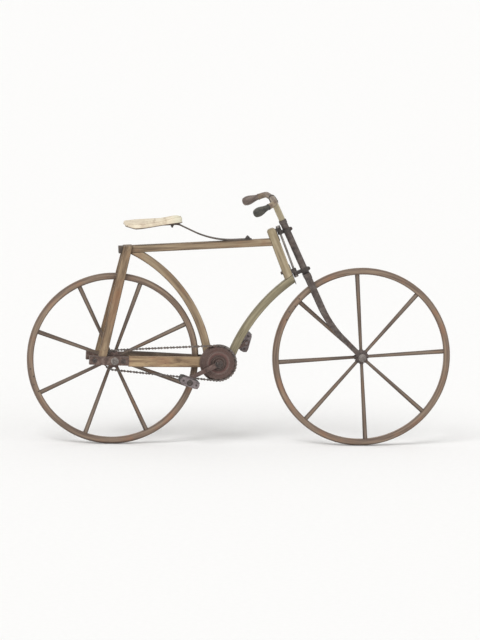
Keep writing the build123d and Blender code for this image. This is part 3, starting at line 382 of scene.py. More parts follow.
stay_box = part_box("seat_stay_right")
stay_lean = -degrees(atan2(stay_box[1].x - stay_box[0].x - STAY_WIDTH, stay_box[1].z - stay_box[0].z))
bar_tail = [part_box("top_bar")[0].x + distance for distance in BAR_TAIL_DARK]
looks = {
    "top_bar": wood("top_bar_wood", straight(BAR_SLOPE), *FRAME_TONES, tail=bar_tail),
    "seat_tube": wood("seat_tube_wood", around(SEAT_TUBE_CENTRE, SEAT_TUBE_BEND), *FRAME_TONES),
    "seat_stay": wood("seat_stay_wood", straight(90 + stay_lean), *SEAT_STAY_TONES),
    "chain_stay": wood("chain_stay_wood", straight(STAY_SLOPE), *STAY_TONES),
    # Painted shade: the far chain stay is coloured as if it lay in shade.
    "shaded_far_stay": wood("shaded_far_stay_wood", straight(STAY_SLOPE), *SHADED_FAR_STAY_TONES),
    "head_post": wood("head_post_wood", straight(90 + HEAD_LEAN), *HEAD_TONES),
    "down_tube": wood("down_tube_wood", around(DOWN_TUBE_CENTRE, DOWN_TUBE_BEND), *DOWN_TUBE_TONES),
    "rear_rim": wood("rear_rim_wood", around(rear_axle, REAR_RADIUS), *RIM_TONES),
    "front_rim": wood("front_rim_wood", around(front_axle, FRONT_RADIUS), *RIM_TONES),
    "rear_spokes": wood("rear_spoke_wood", spoked(rear_axle, REAR_SPOKE_ANGLE), *SPOKE_TONES),
    "front_spokes": wood("front_spoke_wood", spoked(front_axle, FRONT_SPOKE_ANGLE), *SPOKE_TONES),
    "stem": wood("stem_wood", straight(90 + FORK_LEAN), (118, 106, 84), (160, 148, 122), (188, 178, 152),
                 (146, 136, 106), edge=0.0),
    "handlebar": wood("handlebar_wood", crosswise(), (76, 62, 56), (120, 104, 90), (158, 144, 120),
                      (100, 80, 72), edge=0.0),
    # The right grip is coloured much darker than the left one.
    "grip_right": wood("grip_right_wood", straight(GRIP_TILT), (33, 32, 28), (53, 51, 45), (88, 85, 75),
                       (48, 47, 42), shine=0.5, edge=0.0),
    "grip_left": wood("grip_left_wood", straight(GRIP_TILT), (68, 57, 53), (102, 89, 82), (132, 118, 109),
                      (100, 84, 79), shine=0.5, edge=0.0),
    "peg": wood("peg_wood", straight(30.0), (78, 62, 50), (118, 98, 78), (150, 130, 104),
                (110, 84, 64), edge=0.0),
    "fork": iron("fork_paint", (50, 43, 42), (80, 71, 67), (112, 103, 97), (98, 73, 63), rusty=0.4),
    "hinge": iron("hinge_black", (38, 34, 33), (60, 54, 51), (92, 84, 80), (88, 66, 56), rusty=0.4),
    "frame_iron": iron("frame_brown_iron", (56, 45, 40), (90, 72, 65), (130, 115, 105), (102, 74, 62)),
    "hub": iron("hub_dark_iron", (52, 44, 42), (84, 73, 69), (122, 110, 104), (100, 70, 58)),
    "drive": iron("drive_rusted_iron", (58, 45, 41), (92, 74, 68), (126, 107, 102), (98, 64, 56), bare=0.35),
    "chainwheel": iron("chainwheel_rusted_iron", (58, 44, 40), (94, 76, 70), (142, 121, 115),
                       (98, 62, 56), rusty=0.3, bare=0.35, tint=chainwheel_tint),
    "chain": iron("chain_dull_steel", (58, 53, 51), (96, 89, 85), (140, 132, 126), (104, 80, 66), metal=0.4),
    "pedal_steel": iron("pedal_dull_steel", (74, 66, 66), (124, 114, 115), (158, 150, 150), (100, 76, 68),
                        rusty=0.35, metal=0.4),
    "pedal_rubber": iron("pedal_old_rubber", (34, 33, 32), (52, 51, 49), (78, 76, 74), (62, 58, 55),
                         rusty=0.3, bare=0.2, metal=0.0),
    "axle": iron("axle_grey_steel", (84, 78, 76), (132, 126, 122), (172, 166, 160), (112, 84, 70),
                 rusty=0.35, metal=0.6),
    "spring": iron("spring_dark_steel", (48, 41, 37), (76, 67, 60), (112, 102, 92), (98, 72, 56), metal=0.4),
    "pan": iron("pan_dark_iron", (42, 36, 33), (66, 58, 52), (96, 86, 78), (92, 66, 52)),
    "bolt": iron("bolt_dark_steel", (42, 37, 36), (70, 63, 60), (110, 102, 98), (98, 70, 58), metal=0.45),
    "saddle": leather("saddle_cream_leather", (218, 205, 182), (198, 181, 160), (150, 128, 106),
                      (230, 221, 200), nose_tint=0.55),
    "thread": leather("saddle_thread", (150, 126, 96), (126, 102, 76), (92, 74, 56), (176, 152, 122)),
    # Painted shade: dark tones for the bead that stands in for the shade under the saddle's edge.
    "shade_bead": leather("saddle_shade_bead_leather", (88, 72, 60), (68, 55, 47), (50, 41, 36), (104, 88, 74)),
}
SHARED_LOOKS = {
    "seat_stay": ("seat_stay_right", "seat_stay_left"), "chain_stay": ("chain_stay_right",),
    "shaded_far_stay": ("chain_stay_left",),
    "fork": ("fork_post", "fork_crown", "fork_blade_right", "fork_blade_left"),
    "hinge": ("head_knuckle_upper", "head_knuckle_lower", "fork_knuckle_upper", "fork_knuckle_lower"),
    "frame_iron": ("axle_shoe_right", "axle_shoe_left", "hanger_plate_right", "hanger_plate_left",
                   "bracket_shell"),
    "hub": ("rear_hub", "front_hub"),
    "drive": ("rear_sprocket", "crank_spindle", "crank_right", "crank_left"),
    "pedal_steel": ("pedal_spindle_right", "pedal_spindle_left", "pedal_cage_right", "pedal_cage_left"),
    "pedal_rubber": ("pedal_blocks_right", "pedal_blocks_left"),
    "axle": ("rear_axle", "rear_axle_nuts", "front_axle", "front_axle_nuts", "leaf_bolt", "hinge_pin"),
    "spring": ("leaf_spring",), "pan": ("saddle_pan",), "saddle": ("saddle_pad",),
}
node_looks = {name: look for look, names in SHARED_LOOKS.items() for name in names}
for name, node in nodes.items():
    node.data.materials.clear()
    node.data.materials.append(looks[node_looks.get(name, name)])


# Meshes
class Pile:
    """Points and faces of one piece, gathered from several shapes."""

    def __init__(self):
        self.points = []
        self.faces = []

    def add(self, points, faces, place=Matrix.Identity(4)):
        start = len(self.points)
        self.points += [place @ Vector(point) for point in points]
        self.faces += [[start + n for n in face] for face in faces]

    def turned(self, profile, place, steps=32, closed=False):
        """A shape turned about the place's Z, from pairs of radius and height, with caps at its ends."""
        points = [
            (radius * cos(2 * pi * n / steps), radius * sin(2 * pi * n / steps), height)
            for radius, height in profile
            for n in range(steps)
        ]
        rows = len(profile)
        faces = [
            (row % rows * steps + n, row % rows * steps + (n + 1) % steps,
             (row + 1) % rows * steps + (n + 1) % steps, (row + 1) % rows * steps + n)
            for row in range(rows if closed else rows - 1)
            for n in range(steps)
        ]
        if not closed:
            faces.append(list(range(steps))[::-1])
            faces.append([(rows - 1) * steps + n for n in range(steps)])
        self.add(points, faces, place)

    def prism(self, outline, low, high, place):
        """A flat shape with an outline, thick from low to high along the place's Z."""
        count = len(outline)
        points = [(x, y, z) for z in (low, high) for x, y in outline]
        faces = [(n, (n + 1) % count, count + (n + 1) % count, count + n) for n in range(count)]
        self.add(points, faces + [list(range(count))[::-1], list(range(count, 2 * count))], place)

    def rings(self, rows, close_ends=True):
        """A skin through rows of points, each row a closed loop with the same count."""
        count = len(rows[0])
        faces = [
            (row * count + n, row * count + (n + 1) % count,
             (row + 1) * count + (n + 1) % count, (row + 1) * count + n)
            for row in range(len(rows) - 1)
            for n in range(count)
        ]
        if close_ends:
            faces.append(list(range(count))[::-1])
            faces.append([(len(rows) - 1) * count + n for n in range(count)])
        self.add([point for row in rows for point in row], faces)

    def bolt(self, place, radius, height, sides=6, washer=True):
        """A nut or bolt head with a bevelled top, on a washer."""
        base = 0.0
        if washer:
            base = 0.22 * height
            rim = 1.5 * radius
            self.turned(((rim, 0), (rim, 0.8 * base), (1.42 * radius, base), (0, base)), place, 24)
        top = base + height
        bevel = base + 0.8 * height
        self.turned(((radius, base), (radius, bevel), (0.84 * radius, top), (0, top)), place, sides)

    def dome(self, place, radius, height):
        """A rivet's or screw's round head."""
        steps = [(radius * cos(a * pi / 8), height * sin(a * pi / 8)) for a in range(4)]
        self.turned([(radius, -height * 0.3)] + steps + [(0, height)], place, 14)

    def piece(self, name, body, slot, look, sharp=35.0):
        """Makes the object, with smooth shading that breaks at sharp edges, riding on a body."""
        mesh = bpy.data.meshes.new(name)
        mesh.from_pydata([tuple(point) for point in self.points], [], self.faces)
        mesh.validate()
        made = bpy.data.objects.new(name, mesh)
        bpy.context.scene.collection.objects.link(made)
        weld = made.modifiers.new("weld", "WELD")
        weld.merge_threshold = 1e-6
        mesh.polygons.foreach_set("use_smooth", [True] * len(mesh.polygons))
        mesh.set_sharp_from_angle(angle=radians(sharp))
        mesh.materials.append(looks[look])
        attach(made, body)
        return made


def facing(point, direction, turn=0.0):
    """A place at a point whose Z looks in a direction."""
    look = Vector(direction).to_track_quat("Z", "Y").to_matrix().to_4x4()
    return Matrix.Translation(Vector(point)) @ look @ Matrix.Rotation(turn, 4, "Z")


def out(point, sign, distance):
    """A point in the side view, at some distance to one side."""
    return Vector((point.x, sign * distance, point.z))


def on_side(point, sign, distance, turn=0.0):
    """A place at some distance to one side, which looks out to that side."""
    return facing(out(point, sign, distance), (0, sign, 0), turn)


def lying(point, ahead):
    """A place at a point whose X runs along a heading in the side view, and whose Z looks to the right."""
    return Matrix.Translation(point) @ Matrix((
        (ahead.x, -ahead.z, 0, 0), (0, 0, -1, 0), (ahead.z, ahead.x, 0, 0), (0, 0, 0, 1),
    ))


# Rims: bent hoops with a rounded tread, lapped and riveted at one place
TREAD_RISE = 0.010
RIM_STEPS = 240
RIM_UNEVEN = 0.0004
LAP_RIVETS = 4
LAP_RIVET_STEP = 0.035
LAP_RIVET_STAGGER = 0.004
LAP_RIVET_SUNK = 0.0004
LAP_RIVET = (0.0032, 0.0013)
REAR_LAP_ANGLE = 196.0
FRONT_LAP_ANGLE = 146.0


def rim_section():
    """Pairs of depth under the tread and distance from the middle, all round the rim's section."""
    half = RIM_WIDTH / 2
    crown = [(TREAD_RISE * (1 - cos(a)), half * sin(a)) for a in [radians(d) for d in range(-75, 76, 15)]]
    flank = [
        (0.0105, half), (0.014, half),
        (RIM_DEPTH - 0.008, half - 0.0003), (RIM_DEPTH - 0.0035, half - 0.0014),
        (RIM_DEPTH - 0.0012, half - 0.0036), (RIM_DEPTH - 0.0002, half - 0.0065),
        (RIM_DEPTH, half - 0.011), (RIM_DEPTH, 0.0),
    ]
    return crown + flank + [(depth, -side) for depth, side in reversed(flank[:-1])]


def rim(name, axle, radius, body, lap_angle):
    """A slightly uneven hoop about an axle, with rivets on both sides of its lap."""
    section = rim_section()
    rows = []
    for n in range(RIM_STEPS):
        angle = 2 * pi * n / RIM_STEPS
        wander = RIM_UNEVEN * noise.noise((3 * cos(angle), 3 * sin(angle), radius * 40))
        heading = Vector((cos(angle), 0, sin(angle)))
        edge = radius - RIM_UNEVEN + wander
        rows.append([axle + heading * (edge - depth) + LEFT * side for depth, side in section])
    pile = Pile()
    pile.rings(rows + [rows[0]], close_ends=False)
    made = pile.piece(f"{name}_wood", body, "rim_wood", name)
    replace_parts(made, name)
    rivets = Pile()
    for n in range(LAP_RIVETS):
        angle = radians(lap_angle) + (n - (LAP_RIVETS - 1) / 2) * LAP_RIVET_STEP / radius
        reach = radius - 0.6 * RIM_DEPTH + LAP_RIVET_STAGGER * (-1) ** n
        point = axle + Vector((cos(angle), 0, sin(angle))) * reach
        for sign in SIGNS:
            rivets.dome(on_side(point, sign, RIM_WIDTH / 2 - LAP_RIVET_SUNK), *LAP_RIVET)
    rivets.piece(f"{name}_rivets", body, "axle_steel", "bolt")


rim("rear_rim", rear_axle, REAR_RADIUS, "rear_wheel", REAR_LAP_ANGLE)
rim("front_rim", front_axle, FRONT_RADIUS, "front_wheel", FRONT_LAP_ANGLE)

# Hubs: turned iron with beads, and a short socket for each spoke
HUB_BORE = 0.0062
REAR_HUB = (0.028, 0.030)
FRONT_HUB = (0.024, 0.026)
SPROCKET_BOSS = (0.018, CHAIN_OUT + 0.003)
BOSS_BEVEL = 0.0010
SOCKET_SUNK = 0.004
SOCKET = ((0.0098, 0), (0.0098, 0.0075), (0.0092, 0.0090), (0.0066, 0.0092))


def hub(name, axle, size, first_angle, body, boss=None):
    """A hub of some radius and half length, with a boss for the sprocket on its right where there is one."""
    radius, half = size
    left = [
        (HUB_BORE, half), (radius - 0.008, half),
        (radius - 0.0062, half - 0.0015), (radius - 0.0062, half - 0.004),
        (radius - 0.0092, half - 0.0058), (radius - 0.0092, half - 0.0085),
        (radius - 0.003, 0.0155), (radius, 0.0140), (radius, 0.0122), (radius - 0.0016, 0.0112),
    ]
    right = [(r, -z) for r, z in reversed(left)]
    if boss is not None:
        wide, end = boss
        right[-2:] = [(wide, -half), (wide, -end + BOSS_BEVEL), (wide - BOSS_BEVEL, -end), (HUB_BORE, -end)]
    pile = Pile()
    pile.turned(left + right, facing(axle, LEFT), 64, closed=True)
    for n in range(SPOKES):
        angle = radians(first_angle) + 2 * pi * n / SPOKES
        heading = Vector((cos(angle), 0, sin(angle)))
        pile.turned(SOCKET, facing(axle + heading * (radius - SOCKET_SUNK), heading), 24)
    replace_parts(pile.piece(f"{name}_turned", body, "hub_iron", "hub"), name)


hub("rear_hub", rear_axle, REAR_HUB, REAR_SPOKE_ANGLE, "rear_wheel", SPROCKET_BOSS)
hub("front_hub", front_axle, FRONT_HUB, FRONT_SPOKE_ANGLE, "front_wheel")

# Axle nuts with washers, and the rounded ends of the axles
AXLE_NUT = (0.0105, 0.0073)
AXLE_NUT_TURN = 0.4
AXLE_END_OUT = 0.0185
AXLE_END = (0.0048, 0.0010)
for end, axle, seat, body in (
    ("rear", rear_axle, SHOE_FACE, "frame"), ("front", front_axle, FORK_END_FACE, "steering"),
):
    pile = Pile()
    for sign in SIGNS:
        pile.bolt(on_side(axle, sign, seat, AXLE_NUT_TURN), *AXLE_NUT)
        pile.dome(on_side(axle, sign, seat + AXLE_END_OUT), *AXLE_END)
    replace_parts(pile.piece(f"{end}_axle_hex_nuts", body, "axle_steel", "axle"), f"{end}_axle_nuts")

# Chain: blocks and side links with round ends, riveted
BLOCK_RADIUS = 0.0036
BLOCK_LAYERS = ((-0.0029, 0.0029),)
PLATE_RADIUS = 0.0046
PLATE_LAYERS = ((-0.0049, -0.0030), (0.0030, 0.0049))
EYE_SHARE = 0.27
CHAIN_RIVET_OUT = 0.0048
CHAIN_RIVET = (0.0026, 0.0007)


def chain_path():
    """The chain's loop in four stretches: pairs of a length and what gives a point inside it."""
    run = Vector((bracket.x - rear_axle.x, 0, bracket.z - rear_axle.z))
    level = atan2(run.z, run.x)
    step = CHAINWHEEL_PITCH - SPROCKET_PITCH
    lift = atan2(step, (run.length ** 2 - step ** 2) ** 0.5)
    straight_length = run.length * cos(lift)
    upper, lower = level + lift, level - lift

    def on_wheel(centre, radius, angle):
        return Vector((centre.x + radius * cos(angle), 0, centre.z + radius * sin(angle)))

    def around_wheel(centre, radius, first):
        return lambda length: on_wheel(centre, radius, first - length / radius)

    def along_run(centre, radius, side, heading):
        ahead = Vector((cos(heading), 0, sin(heading)))
        return lambda length: on_wheel(centre, radius, side) + ahead * length

    return [
        (straight_length, along_run(rear_axle, SPROCKET_PITCH, upper + pi / 2, upper)),
        (CHAINWHEEL_PITCH * (pi + 2 * lift), around_wheel(bracket, CHAINWHEEL_PITCH, upper + pi / 2)),
        (straight_length, along_run(bracket, CHAINWHEEL_PITCH, lower - pi / 2, lower + pi)),
        (SPROCKET_PITCH * (pi - 2 * lift), around_wheel(rear_axle, SPROCKET_PITCH, lower - pi / 2)),
    ]


path = chain_path()
loop_length = sum(length for length, at in path)
link_count = round(loop_length / CHAIN_PITCH)
link_pitch = loop_length / link_count


def chain_point(distance):
    """A point on the chain's loop."""
    distance %= loop_length
    for length, at in path:
        if distance <= length:
            return at(distance)
        distance -= length
    return path[0][1](0.0)


def eyed_outline(length, radius, reach=145, count=8):
    """The outline of a link with a round eye at each end and a narrow waist."""
    half = length / 2
    turns = [radians(-reach + 2 * reach * n / count) for n in range(count + 1)]
    ahead = [(half + radius * cos(a), radius * sin(a)) for a in turns]
    return ahead + [(-x, -y) for x, y in ahead]


pile = Pile()
for n in range(link_count):
    for first, second, radius, layers in (
        (n - EYE_SHARE, n + EYE_SHARE, BLOCK_RADIUS, BLOCK_LAYERS),
        (n + EYE_SHARE, n + 1 - EYE_SHARE, PLATE_RADIUS, PLATE_LAYERS),
    ):
        one, two = chain_point(first * link_pitch), chain_point(second * link_pitch)
        place = lying(out((one + two) / 2, -1, CHAIN_OUT), (two - one).normalized())
        for low, high in layers:
            pile.prism(eyed_outline((two - one).length, radius), low, high, place)
        if layers == PLATE_LAYERS:
            for point in (one, two):
                for sign in SIGNS:
                    seat = out(point, -1, CHAIN_OUT) + LEFT * (sign * CHAIN_RIVET_OUT)
                    pile.dome(facing(seat, (0, sign, 0)), *CHAIN_RIVET)
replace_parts(pile.piece("chain_links", "frame", "chain_steel", "chain"), "chain")

# Chainwheel: raised rings and rivets on its face, and a web behind the teeth
RINGS = ((0.0610, 0.0570, 0.0030), (0.0500, 0.0472, 0.0030), (0.0315, 0.0290, 0.0032))
RING_BEVEL = 0.0008
WEB = (
    (0.0770, -0.0072), (0.0770, -0.0064), (0.0764, -0.0060), (0.0615, -0.0060), (0.0600, -0.0050),
    (0.0600, -0.0018), (0.0520, -0.0018), (0.0520, -0.0072),
)
WHEEL_RIVETS = 6
WHEEL_RIVET_REACH = 0.0435
WHEEL_RIVET_UP = 0.0013
WHEEL_RIVET = (0.0026, 0.0016)
pile = Pile()
face = facing(out(bracket, -1, CHAIN_OUT), RIGHT)
for outer, inner, height in RINGS:
    pile.turned((
        (outer, RING_BEVEL), (outer, height - RING_BEVEL), (outer - RING_BEVEL, height),
        (inner + RING_BEVEL, height), (inner, height - RING_BEVEL), (inner, RING_BEVEL),
    ), face, 72, closed=True)
pile.turned(WEB, face, 96, closed=True)
for n in range(WHEEL_RIVETS):
    angle = radians(15 + 360 / WHEEL_RIVETS * n)
    shift = (WHEEL_RIVET_REACH * cos(angle), WHEEL_RIVET_REACH * sin(angle), WHEEL_RIVET_UP)
    pile.dome(face @ Matrix.Translation(shift), *WHEEL_RIVET)
pile.piece("chainwheel_rings", "crank_set", "drive_iron", "chainwheel")

# Nuts on the crank spindle's ends, and cotters through the cranks
CRANK_NUT = (0.0105, 0.0060)
CRANK_NUT_TURN = 0.2
COTTER_UP = 0.0165
COTTER_AHEAD = 0.004
COTTER_RADIUS = 0.0042
COTTER_NUT = 0.0035
COTTER_HEAD = 0.0028
pile = Pile()
for sign in SIGNS:
    pile.bolt(on_side(bracket, sign, CRANK_FACE, CRANK_NUT_TURN), *CRANK_NUT)
pile.piece("crank_nuts", "crank_set", "axle_steel", "bolt")

pile = Pile()
for side, sign in SIDES:
    ahead, up = leaning(CRANK_ANGLES[side])
    for way in (-1, 1):
        seat = out(bracket, sign, CRANK_MIDDLE) + up * way * COTTER_UP + ahead * COTTER_AHEAD
        height = COTTER_NUT if way > 0 else COTTER_HEAD
        pile.bolt(facing(seat, up * way), COTTER_RADIUS, height, washer=way > 0)
pile.piece("crank_cotters", "crank_set", "axle_steel", "bolt")

# Pedals: grooved blocks and end nuts
BLOCK_INNER = 0.0871
BLOCK_OUTER = 0.1609
BLOCK_SHIFTS = (-0.028, 0.028)
BLOCK_WIDTH = 0.024
BLOCK_THICK = 0.030
BLOCK_CORNER = 0.005
GROOVES = 7
GROOVE = ((0.0, 0.0022), (0.10, 0.0006), (0.16, 0.0), (0.84, 0.0), (0.90, 0.0006), (1.0, 0.0022))
CAGE_INNER = 0.084
CAGE_OUTER = 0.164
PEDAL_NUT = (0.0085, 0.0042)
CAGE_NUT = (0.0042, 0.0026)


def rounded_rectangle(width, height, corner, count=4):
    """The outline of a rectangle with round corners."""
    outline = []
    for right, up, start in ((1, 1, 0), (-1, 1, 90), (-1, -1, 180), (1, -1, 270)):
        for n in range(count + 1):
            angle = radians(start + 90 * n / count)
            outline.append((right * (width / 2 - corner) + corner * cos(angle),
                            up * (height / 2 - corner) + corner * sin(angle)))
    return outline


for side, sign in SIDES:
    axle = pedals[side]
    ahead, up = leaning(PEDAL_TILTS[side])
    step = (BLOCK_OUTER - BLOCK_INNER) / GROOVES
    pile = Pile()
    for shift in BLOCK_SHIFTS:
        rows = []
        for n in range(GROOVES):
            for share, shrink in GROOVE:
                if n and share == 0.0:
                    continue
                middle = out(axle, sign, BLOCK_INNER + (n + share) * step) + ahead * shift
                size = (BLOCK_WIDTH - 2 * shrink, BLOCK_THICK - 2 * shrink, BLOCK_CORNER - shrink)
                outline = rounded_rectangle(*size)
                rows.append([middle + ahead * x + up * z for x, z in outline])
        pile.rings(rows if sign > 0 else rows[::-1])
    blocks = pile.piece(f"pedal_rubbers_{side}", f"{side}_pedal", "pedal_rubber", "pedal_rubber")
    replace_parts(blocks, f"pedal_blocks_{side}")
    pile = Pile()
    pile.bolt(on_side(axle, sign, CAGE_OUTER), *PEDAL_NUT)
    for shift in BLOCK_SHIFTS:
        for distance, way in ((CAGE_OUTER, 1), (CAGE_INNER, -1)):
            point = out(axle, sign, distance) + ahead * shift
            pile.bolt(facing(point, (0, sign * way, 0)), *CAGE_NUT, washer=False)
    pile.piece(f"pedal_nuts_{side}", f"{side}_pedal", "axle_steel", "bolt")

# Steering: bolted lugs in front of the fork's bands, screws in the hinge plates, a nut behind the head post
HINGE_TO_FORK = 0.0345
HINGE_TO_HEAD = 0.0315
HINGE_HEIGHT = 0.09075
KNUCKLE_DROP = 0.0075
FORK_TOP = 0.1295
HEAD_HALF = 0.0175
PLATE_THICK = 0.0025
LUG_AHEAD = 0.0178
LUG_OUT = 0.0040
LUG_SIZE = (0.013, 0.0120, 0.004)
LUG_HALF_THICK = 0.0025
LUG_BOLT_AHEAD = 0.0202
LUG_BOLT_OUT = 0.0064
LUG_BOLT = (0.0032, 0.0030)
PLATE_SCREWS_OUT = (-0.0075, 0.0075)
PLATE_SCREWS_DOWN = (0.0225, 0.0315)
PLATE_SCREW = (0.0032, 0.0012)
FOOT_STRAP_UP = -0.121
FOOT_STRAP_SIZE = (0.024, 0.040, 0.005)
FOOT_STRAP_THICK = 0.0024
FOOT_SCREWS_UP = -0.128
FOOT_SCREWS_OUT = (-0.006, 0.006)
FOOT_SCREW = (0.0030, 0.0011)
BACK_NUT_RISE = 0.014
BACK_NUT = (0.0070, 0.0060)
ahead, up = leaning(HEAD_LEAN)
fork_ahead, fork_up = leaning(FORK_LEAN)
fork_middle = hinge_middle + ahead * HINGE_TO_FORK
fork_top = fork_middle + fork_up * FORK_TOP
head_middle = hinge_middle - ahead * HINGE_TO_HEAD
plate_face = head_middle + ahead * (HEAD_HALF + PLATE_THICK)
strap_face = head_middle + ahead * HEAD_HALF
lugs, lug_bolts, plate_screws, strap = Pile(), Pile(), Pile(), Pile()
for level in (1, -1):
    knuckle = hinge_middle + up * (level * HINGE_HEIGHT - KNUCKLE_DROP)
    height = (knuckle - fork_middle).dot(up)
    post = fork_middle + fork_up * (height / cos(radians(FORK_LEAN - HEAD_LEAN)))
    for sign in SIGNS:
        place = lying(post + ahead * LUG_AHEAD + LEFT * (sign * LUG_OUT), ahead)
        lugs.prism(rounded_rectangle(*LUG_SIZE), -LUG_HALF_THICK, LUG_HALF_THICK, place)
        seat = post + ahead * LUG_BOLT_AHEAD + LEFT * (sign * LUG_BOLT_OUT)
        lug_bolts.bolt(facing(seat, (0, sign, 0)), *LUG_BOLT, washer=False)
    for aside in PLATE_SCREWS_OUT:
        for down in PLATE_SCREWS_DOWN:
            seat = plate_face + up * level * (HINGE_HEIGHT - down) + LEFT * aside
            plate_screws.dome(facing(seat, ahead), *PLATE_SCREW)
for aside in FOOT_SCREWS_OUT:
    seat = strap_face + ahead * FOOT_STRAP_THICK + up * FOOT_SCREWS_UP + LEFT * aside
    plate_screws.dome(facing(seat, ahead), *FOOT_SCREW)
back = head_middle - ahead * HEAD_HALF + up * (-HINGE_HEIGHT + BACK_NUT_RISE)
plate_screws.bolt(facing(back, -ahead), *BACK_NUT)
strap_place = facing(strap_face + up * FOOT_STRAP_UP, ahead)
strap.prism(rounded_rectangle(*FOOT_STRAP_SIZE), 0.0, FOOT_STRAP_THICK, strap_place)
strap.piece("head_foot_strap", "frame", "frame_iron", "axle")
lugs.piece("fork_lugs", "steering", "hinge_iron", "hinge")
lug_bolts.piece("fork_lug_bolts", "steering", "axle_steel", "bolt")
plate_screws.piece("hinge_screws", "frame", "axle_steel", "bolt")

# Ferrule on the fork's top, and a strap that holds the handlebar on the stem
FERRULE = ((0.0146, -0.016), (0.0162, -0.0150), (0.0162, -0.0020), (0.0152, 0.0), (0.0131, 0.0))
BAR_UP = 0.100
BAND_ARCH = 0.0126
BAND_ARCH_BACK = 0.0010
BAND_LEG = 0.0134
BAND_STEPS = (-0.026, -0.018, -0.008)
BAND_THICK = 0.0018
BAND_HALF_WIDTH = 0.008
BAND_RIVET_AHEAD = 0.0150
BAND_RIVET_DOWN = 0.019
BAND_RIVET = (0.0042, 0.0020)
pile = Pile()
pile.turned(FERRULE, facing(fork_top, fork_up), 40)
pile.piece("fork_ferrule", "steering", "fork_iron", "fork")

bar_middle = fork_top + fork_up * BAR_UP
pile = Pile()
turns = [radians(a) for a in range(0, 181, 12)]
arch = [(BAND_ARCH * cos(a) - BAND_ARCH_BACK, BAND_ARCH * sin(a)) for a in turns]
line = [(BAND_LEG, z) for z in BAND_STEPS] + arch + [(-BAND_LEG, z) for z in reversed(BAND_STEPS)]
aside = LEFT * BAND_HALF_WIDTH
rows = []
for n, (x, z) in enumerate(line):
    x0, z0 = line[max(n - 1, 0)]
    x1, z1 = line[min(n + 1, len(line) - 1)]
    length = hypot(x1 - x0, z1 - z0)
    x_out, z_out = x + BAND_THICK * (z1 - z0) / length, z - BAND_THICK * (x1 - x0) / length
    inside = bar_middle + fork_ahead * x + fork_up * z
    outside = bar_middle + fork_ahead * x_out + fork_up * z_out
    rows.append([inside + aside, inside - aside, outside - aside, outside + aside])
pile.rings(rows)
for sign in SIGNS:
    seat = bar_middle + fork_ahead * sign * BAND_RIVET_AHEAD - fork_up * BAND_RIVET_DOWN
    pile.dome(facing(seat, fork_ahead * sign), *BAND_RIVET)
pile.piece("handlebar_strap", "steering", "hinge_iron", "hinge")

# Frame fastenings: pegs in the seat stays, bolts in the shoes, rivets in the hanger plates and stay ends
TAIL_AHEAD = 0.014
TAIL_OVER_WHEEL = 0.081
BAR_HALF = 0.015
STAY_JOINT_AHEAD = 0.034
STAY_TOP_OUT = 0.023
STAY_FOOT_OUT = 0.076
STAY_FOOT_BACK = 0.050
STAY_FOOT_UP = 0.0175
FOOT_PEG_UP = 0.028
PEG_OUT = 0.0096
PEG_TURN = 0.7
PEG = ((0.0052, 0.0), (0.0050, 0.0014), (0.0041, 0.0021), (0.0, 0.0021))
SHOE_BOLTS_AHEAD = (-0.082, 0.036)
SHOE_BOLT = (0.0065, 0.0048)
SHOE_BOLT_TURN = 0.5
HANGER_FACE = 0.022
HANGER_RIVETS = ((-0.037, 0.030), (0.051, 0.018), (0.030, -0.012))
HANGER_RIVET = (0.0052, 0.0026)
STAY_FACE = 0.042
STAY_RIVETS_AHEAD = (-0.046, -0.074)
STAY_RIVET = (0.0046, 0.0018)
pile, pegs = Pile(), Pile()
bar_ahead, bar_up = leaning(BAR_SLOPE)
tail_point = Vector((rear_axle.x + TAIL_AHEAD, 0, rear_axle.z + REAR_RADIUS + TAIL_OVER_WHEEL + BAR_HALF))
stay_joint = tail_point + bar_ahead * STAY_JOINT_AHEAD
stay_ahead = leaning(STAY_SLOPE)[0]
for sign in SIGNS:
    stay_top = out(stay_joint, sign, STAY_TOP_OUT)
    stay_foot = Vector((rear_axle.x - STAY_FOOT_BACK, sign * STAY_FOOT_OUT, rear_axle.z + STAY_FOOT_UP))
    run = (stay_top - stay_foot).normalized()
    normal = (Vector((0, sign, 0)) - run * run.y * sign).normalized()
    for point in (stay_top, stay_foot + run * FOOT_PEG_UP):
        pegs.turned(PEG, facing(point + normal * PEG_OUT, normal, PEG_TURN), 9)
    for shift in SHOE_BOLTS_AHEAD:
        pile.bolt(on_side(rear_axle + stay_ahead * shift, sign, SHOE_FACE, SHOE_BOLT_TURN), *SHOE_BOLT)
    for shift_x, shift_z in HANGER_RIVETS:
        pile.dome(on_side(bracket + Vector((shift_x, 0, shift_z)), sign, HANGER_FACE), *HANGER_RIVET)
    for shift in STAY_RIVETS_AHEAD:
        pile.dome(on_side(bracket + stay_ahead * shift, sign, STAY_FACE), *STAY_RIVET)
pile.piece("frame_bolts", "frame", "axle_steel", "bolt")
pegs.piece("stay_pegs", "frame", "frame_wood", "peg")

# Leaf spring: bolt on the top bar, bolts under the saddle
LEAF_BOLT_DOWN = 0.004
LEAF_WASHER = ((0.0115, 0.0), (0.0115, 0.0016), (0.0108, 0.0020), (0.0, 0.0020))
LEAF_NUT = ((0.0092, 0.0020), (0.0084, 0.0060), (0.0052, 0.0098), (0.0, 0.0098))
LEAF_NUT_TURN = 0.3
LEAF_BOLT_END = (0.0038, 0.0030)
SADDLE_BOLTS_AHEAD = (-0.028, 0.112)
SADDLE_BOLTS_DOWN = 0.021
SADDLE_BOLT = (0.0070, 0.0055)
SADDLE_BOLT_END = ((0.0035, 0.0), (0.0035, 0.011), (0.0028, 0.012), (0, 0.012))
pile = Pile()
bolt_low, bolt_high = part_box("leaf_bolt")
foot = Vector(((bolt_low.x + bolt_high.x) / 2, 0, (bolt_low.z + bolt_high.z) / 2)) - bar_up * LEAF_BOLT_DOWN
pile.turned(LEAF_WASHER, facing(foot, bar_up), 28)
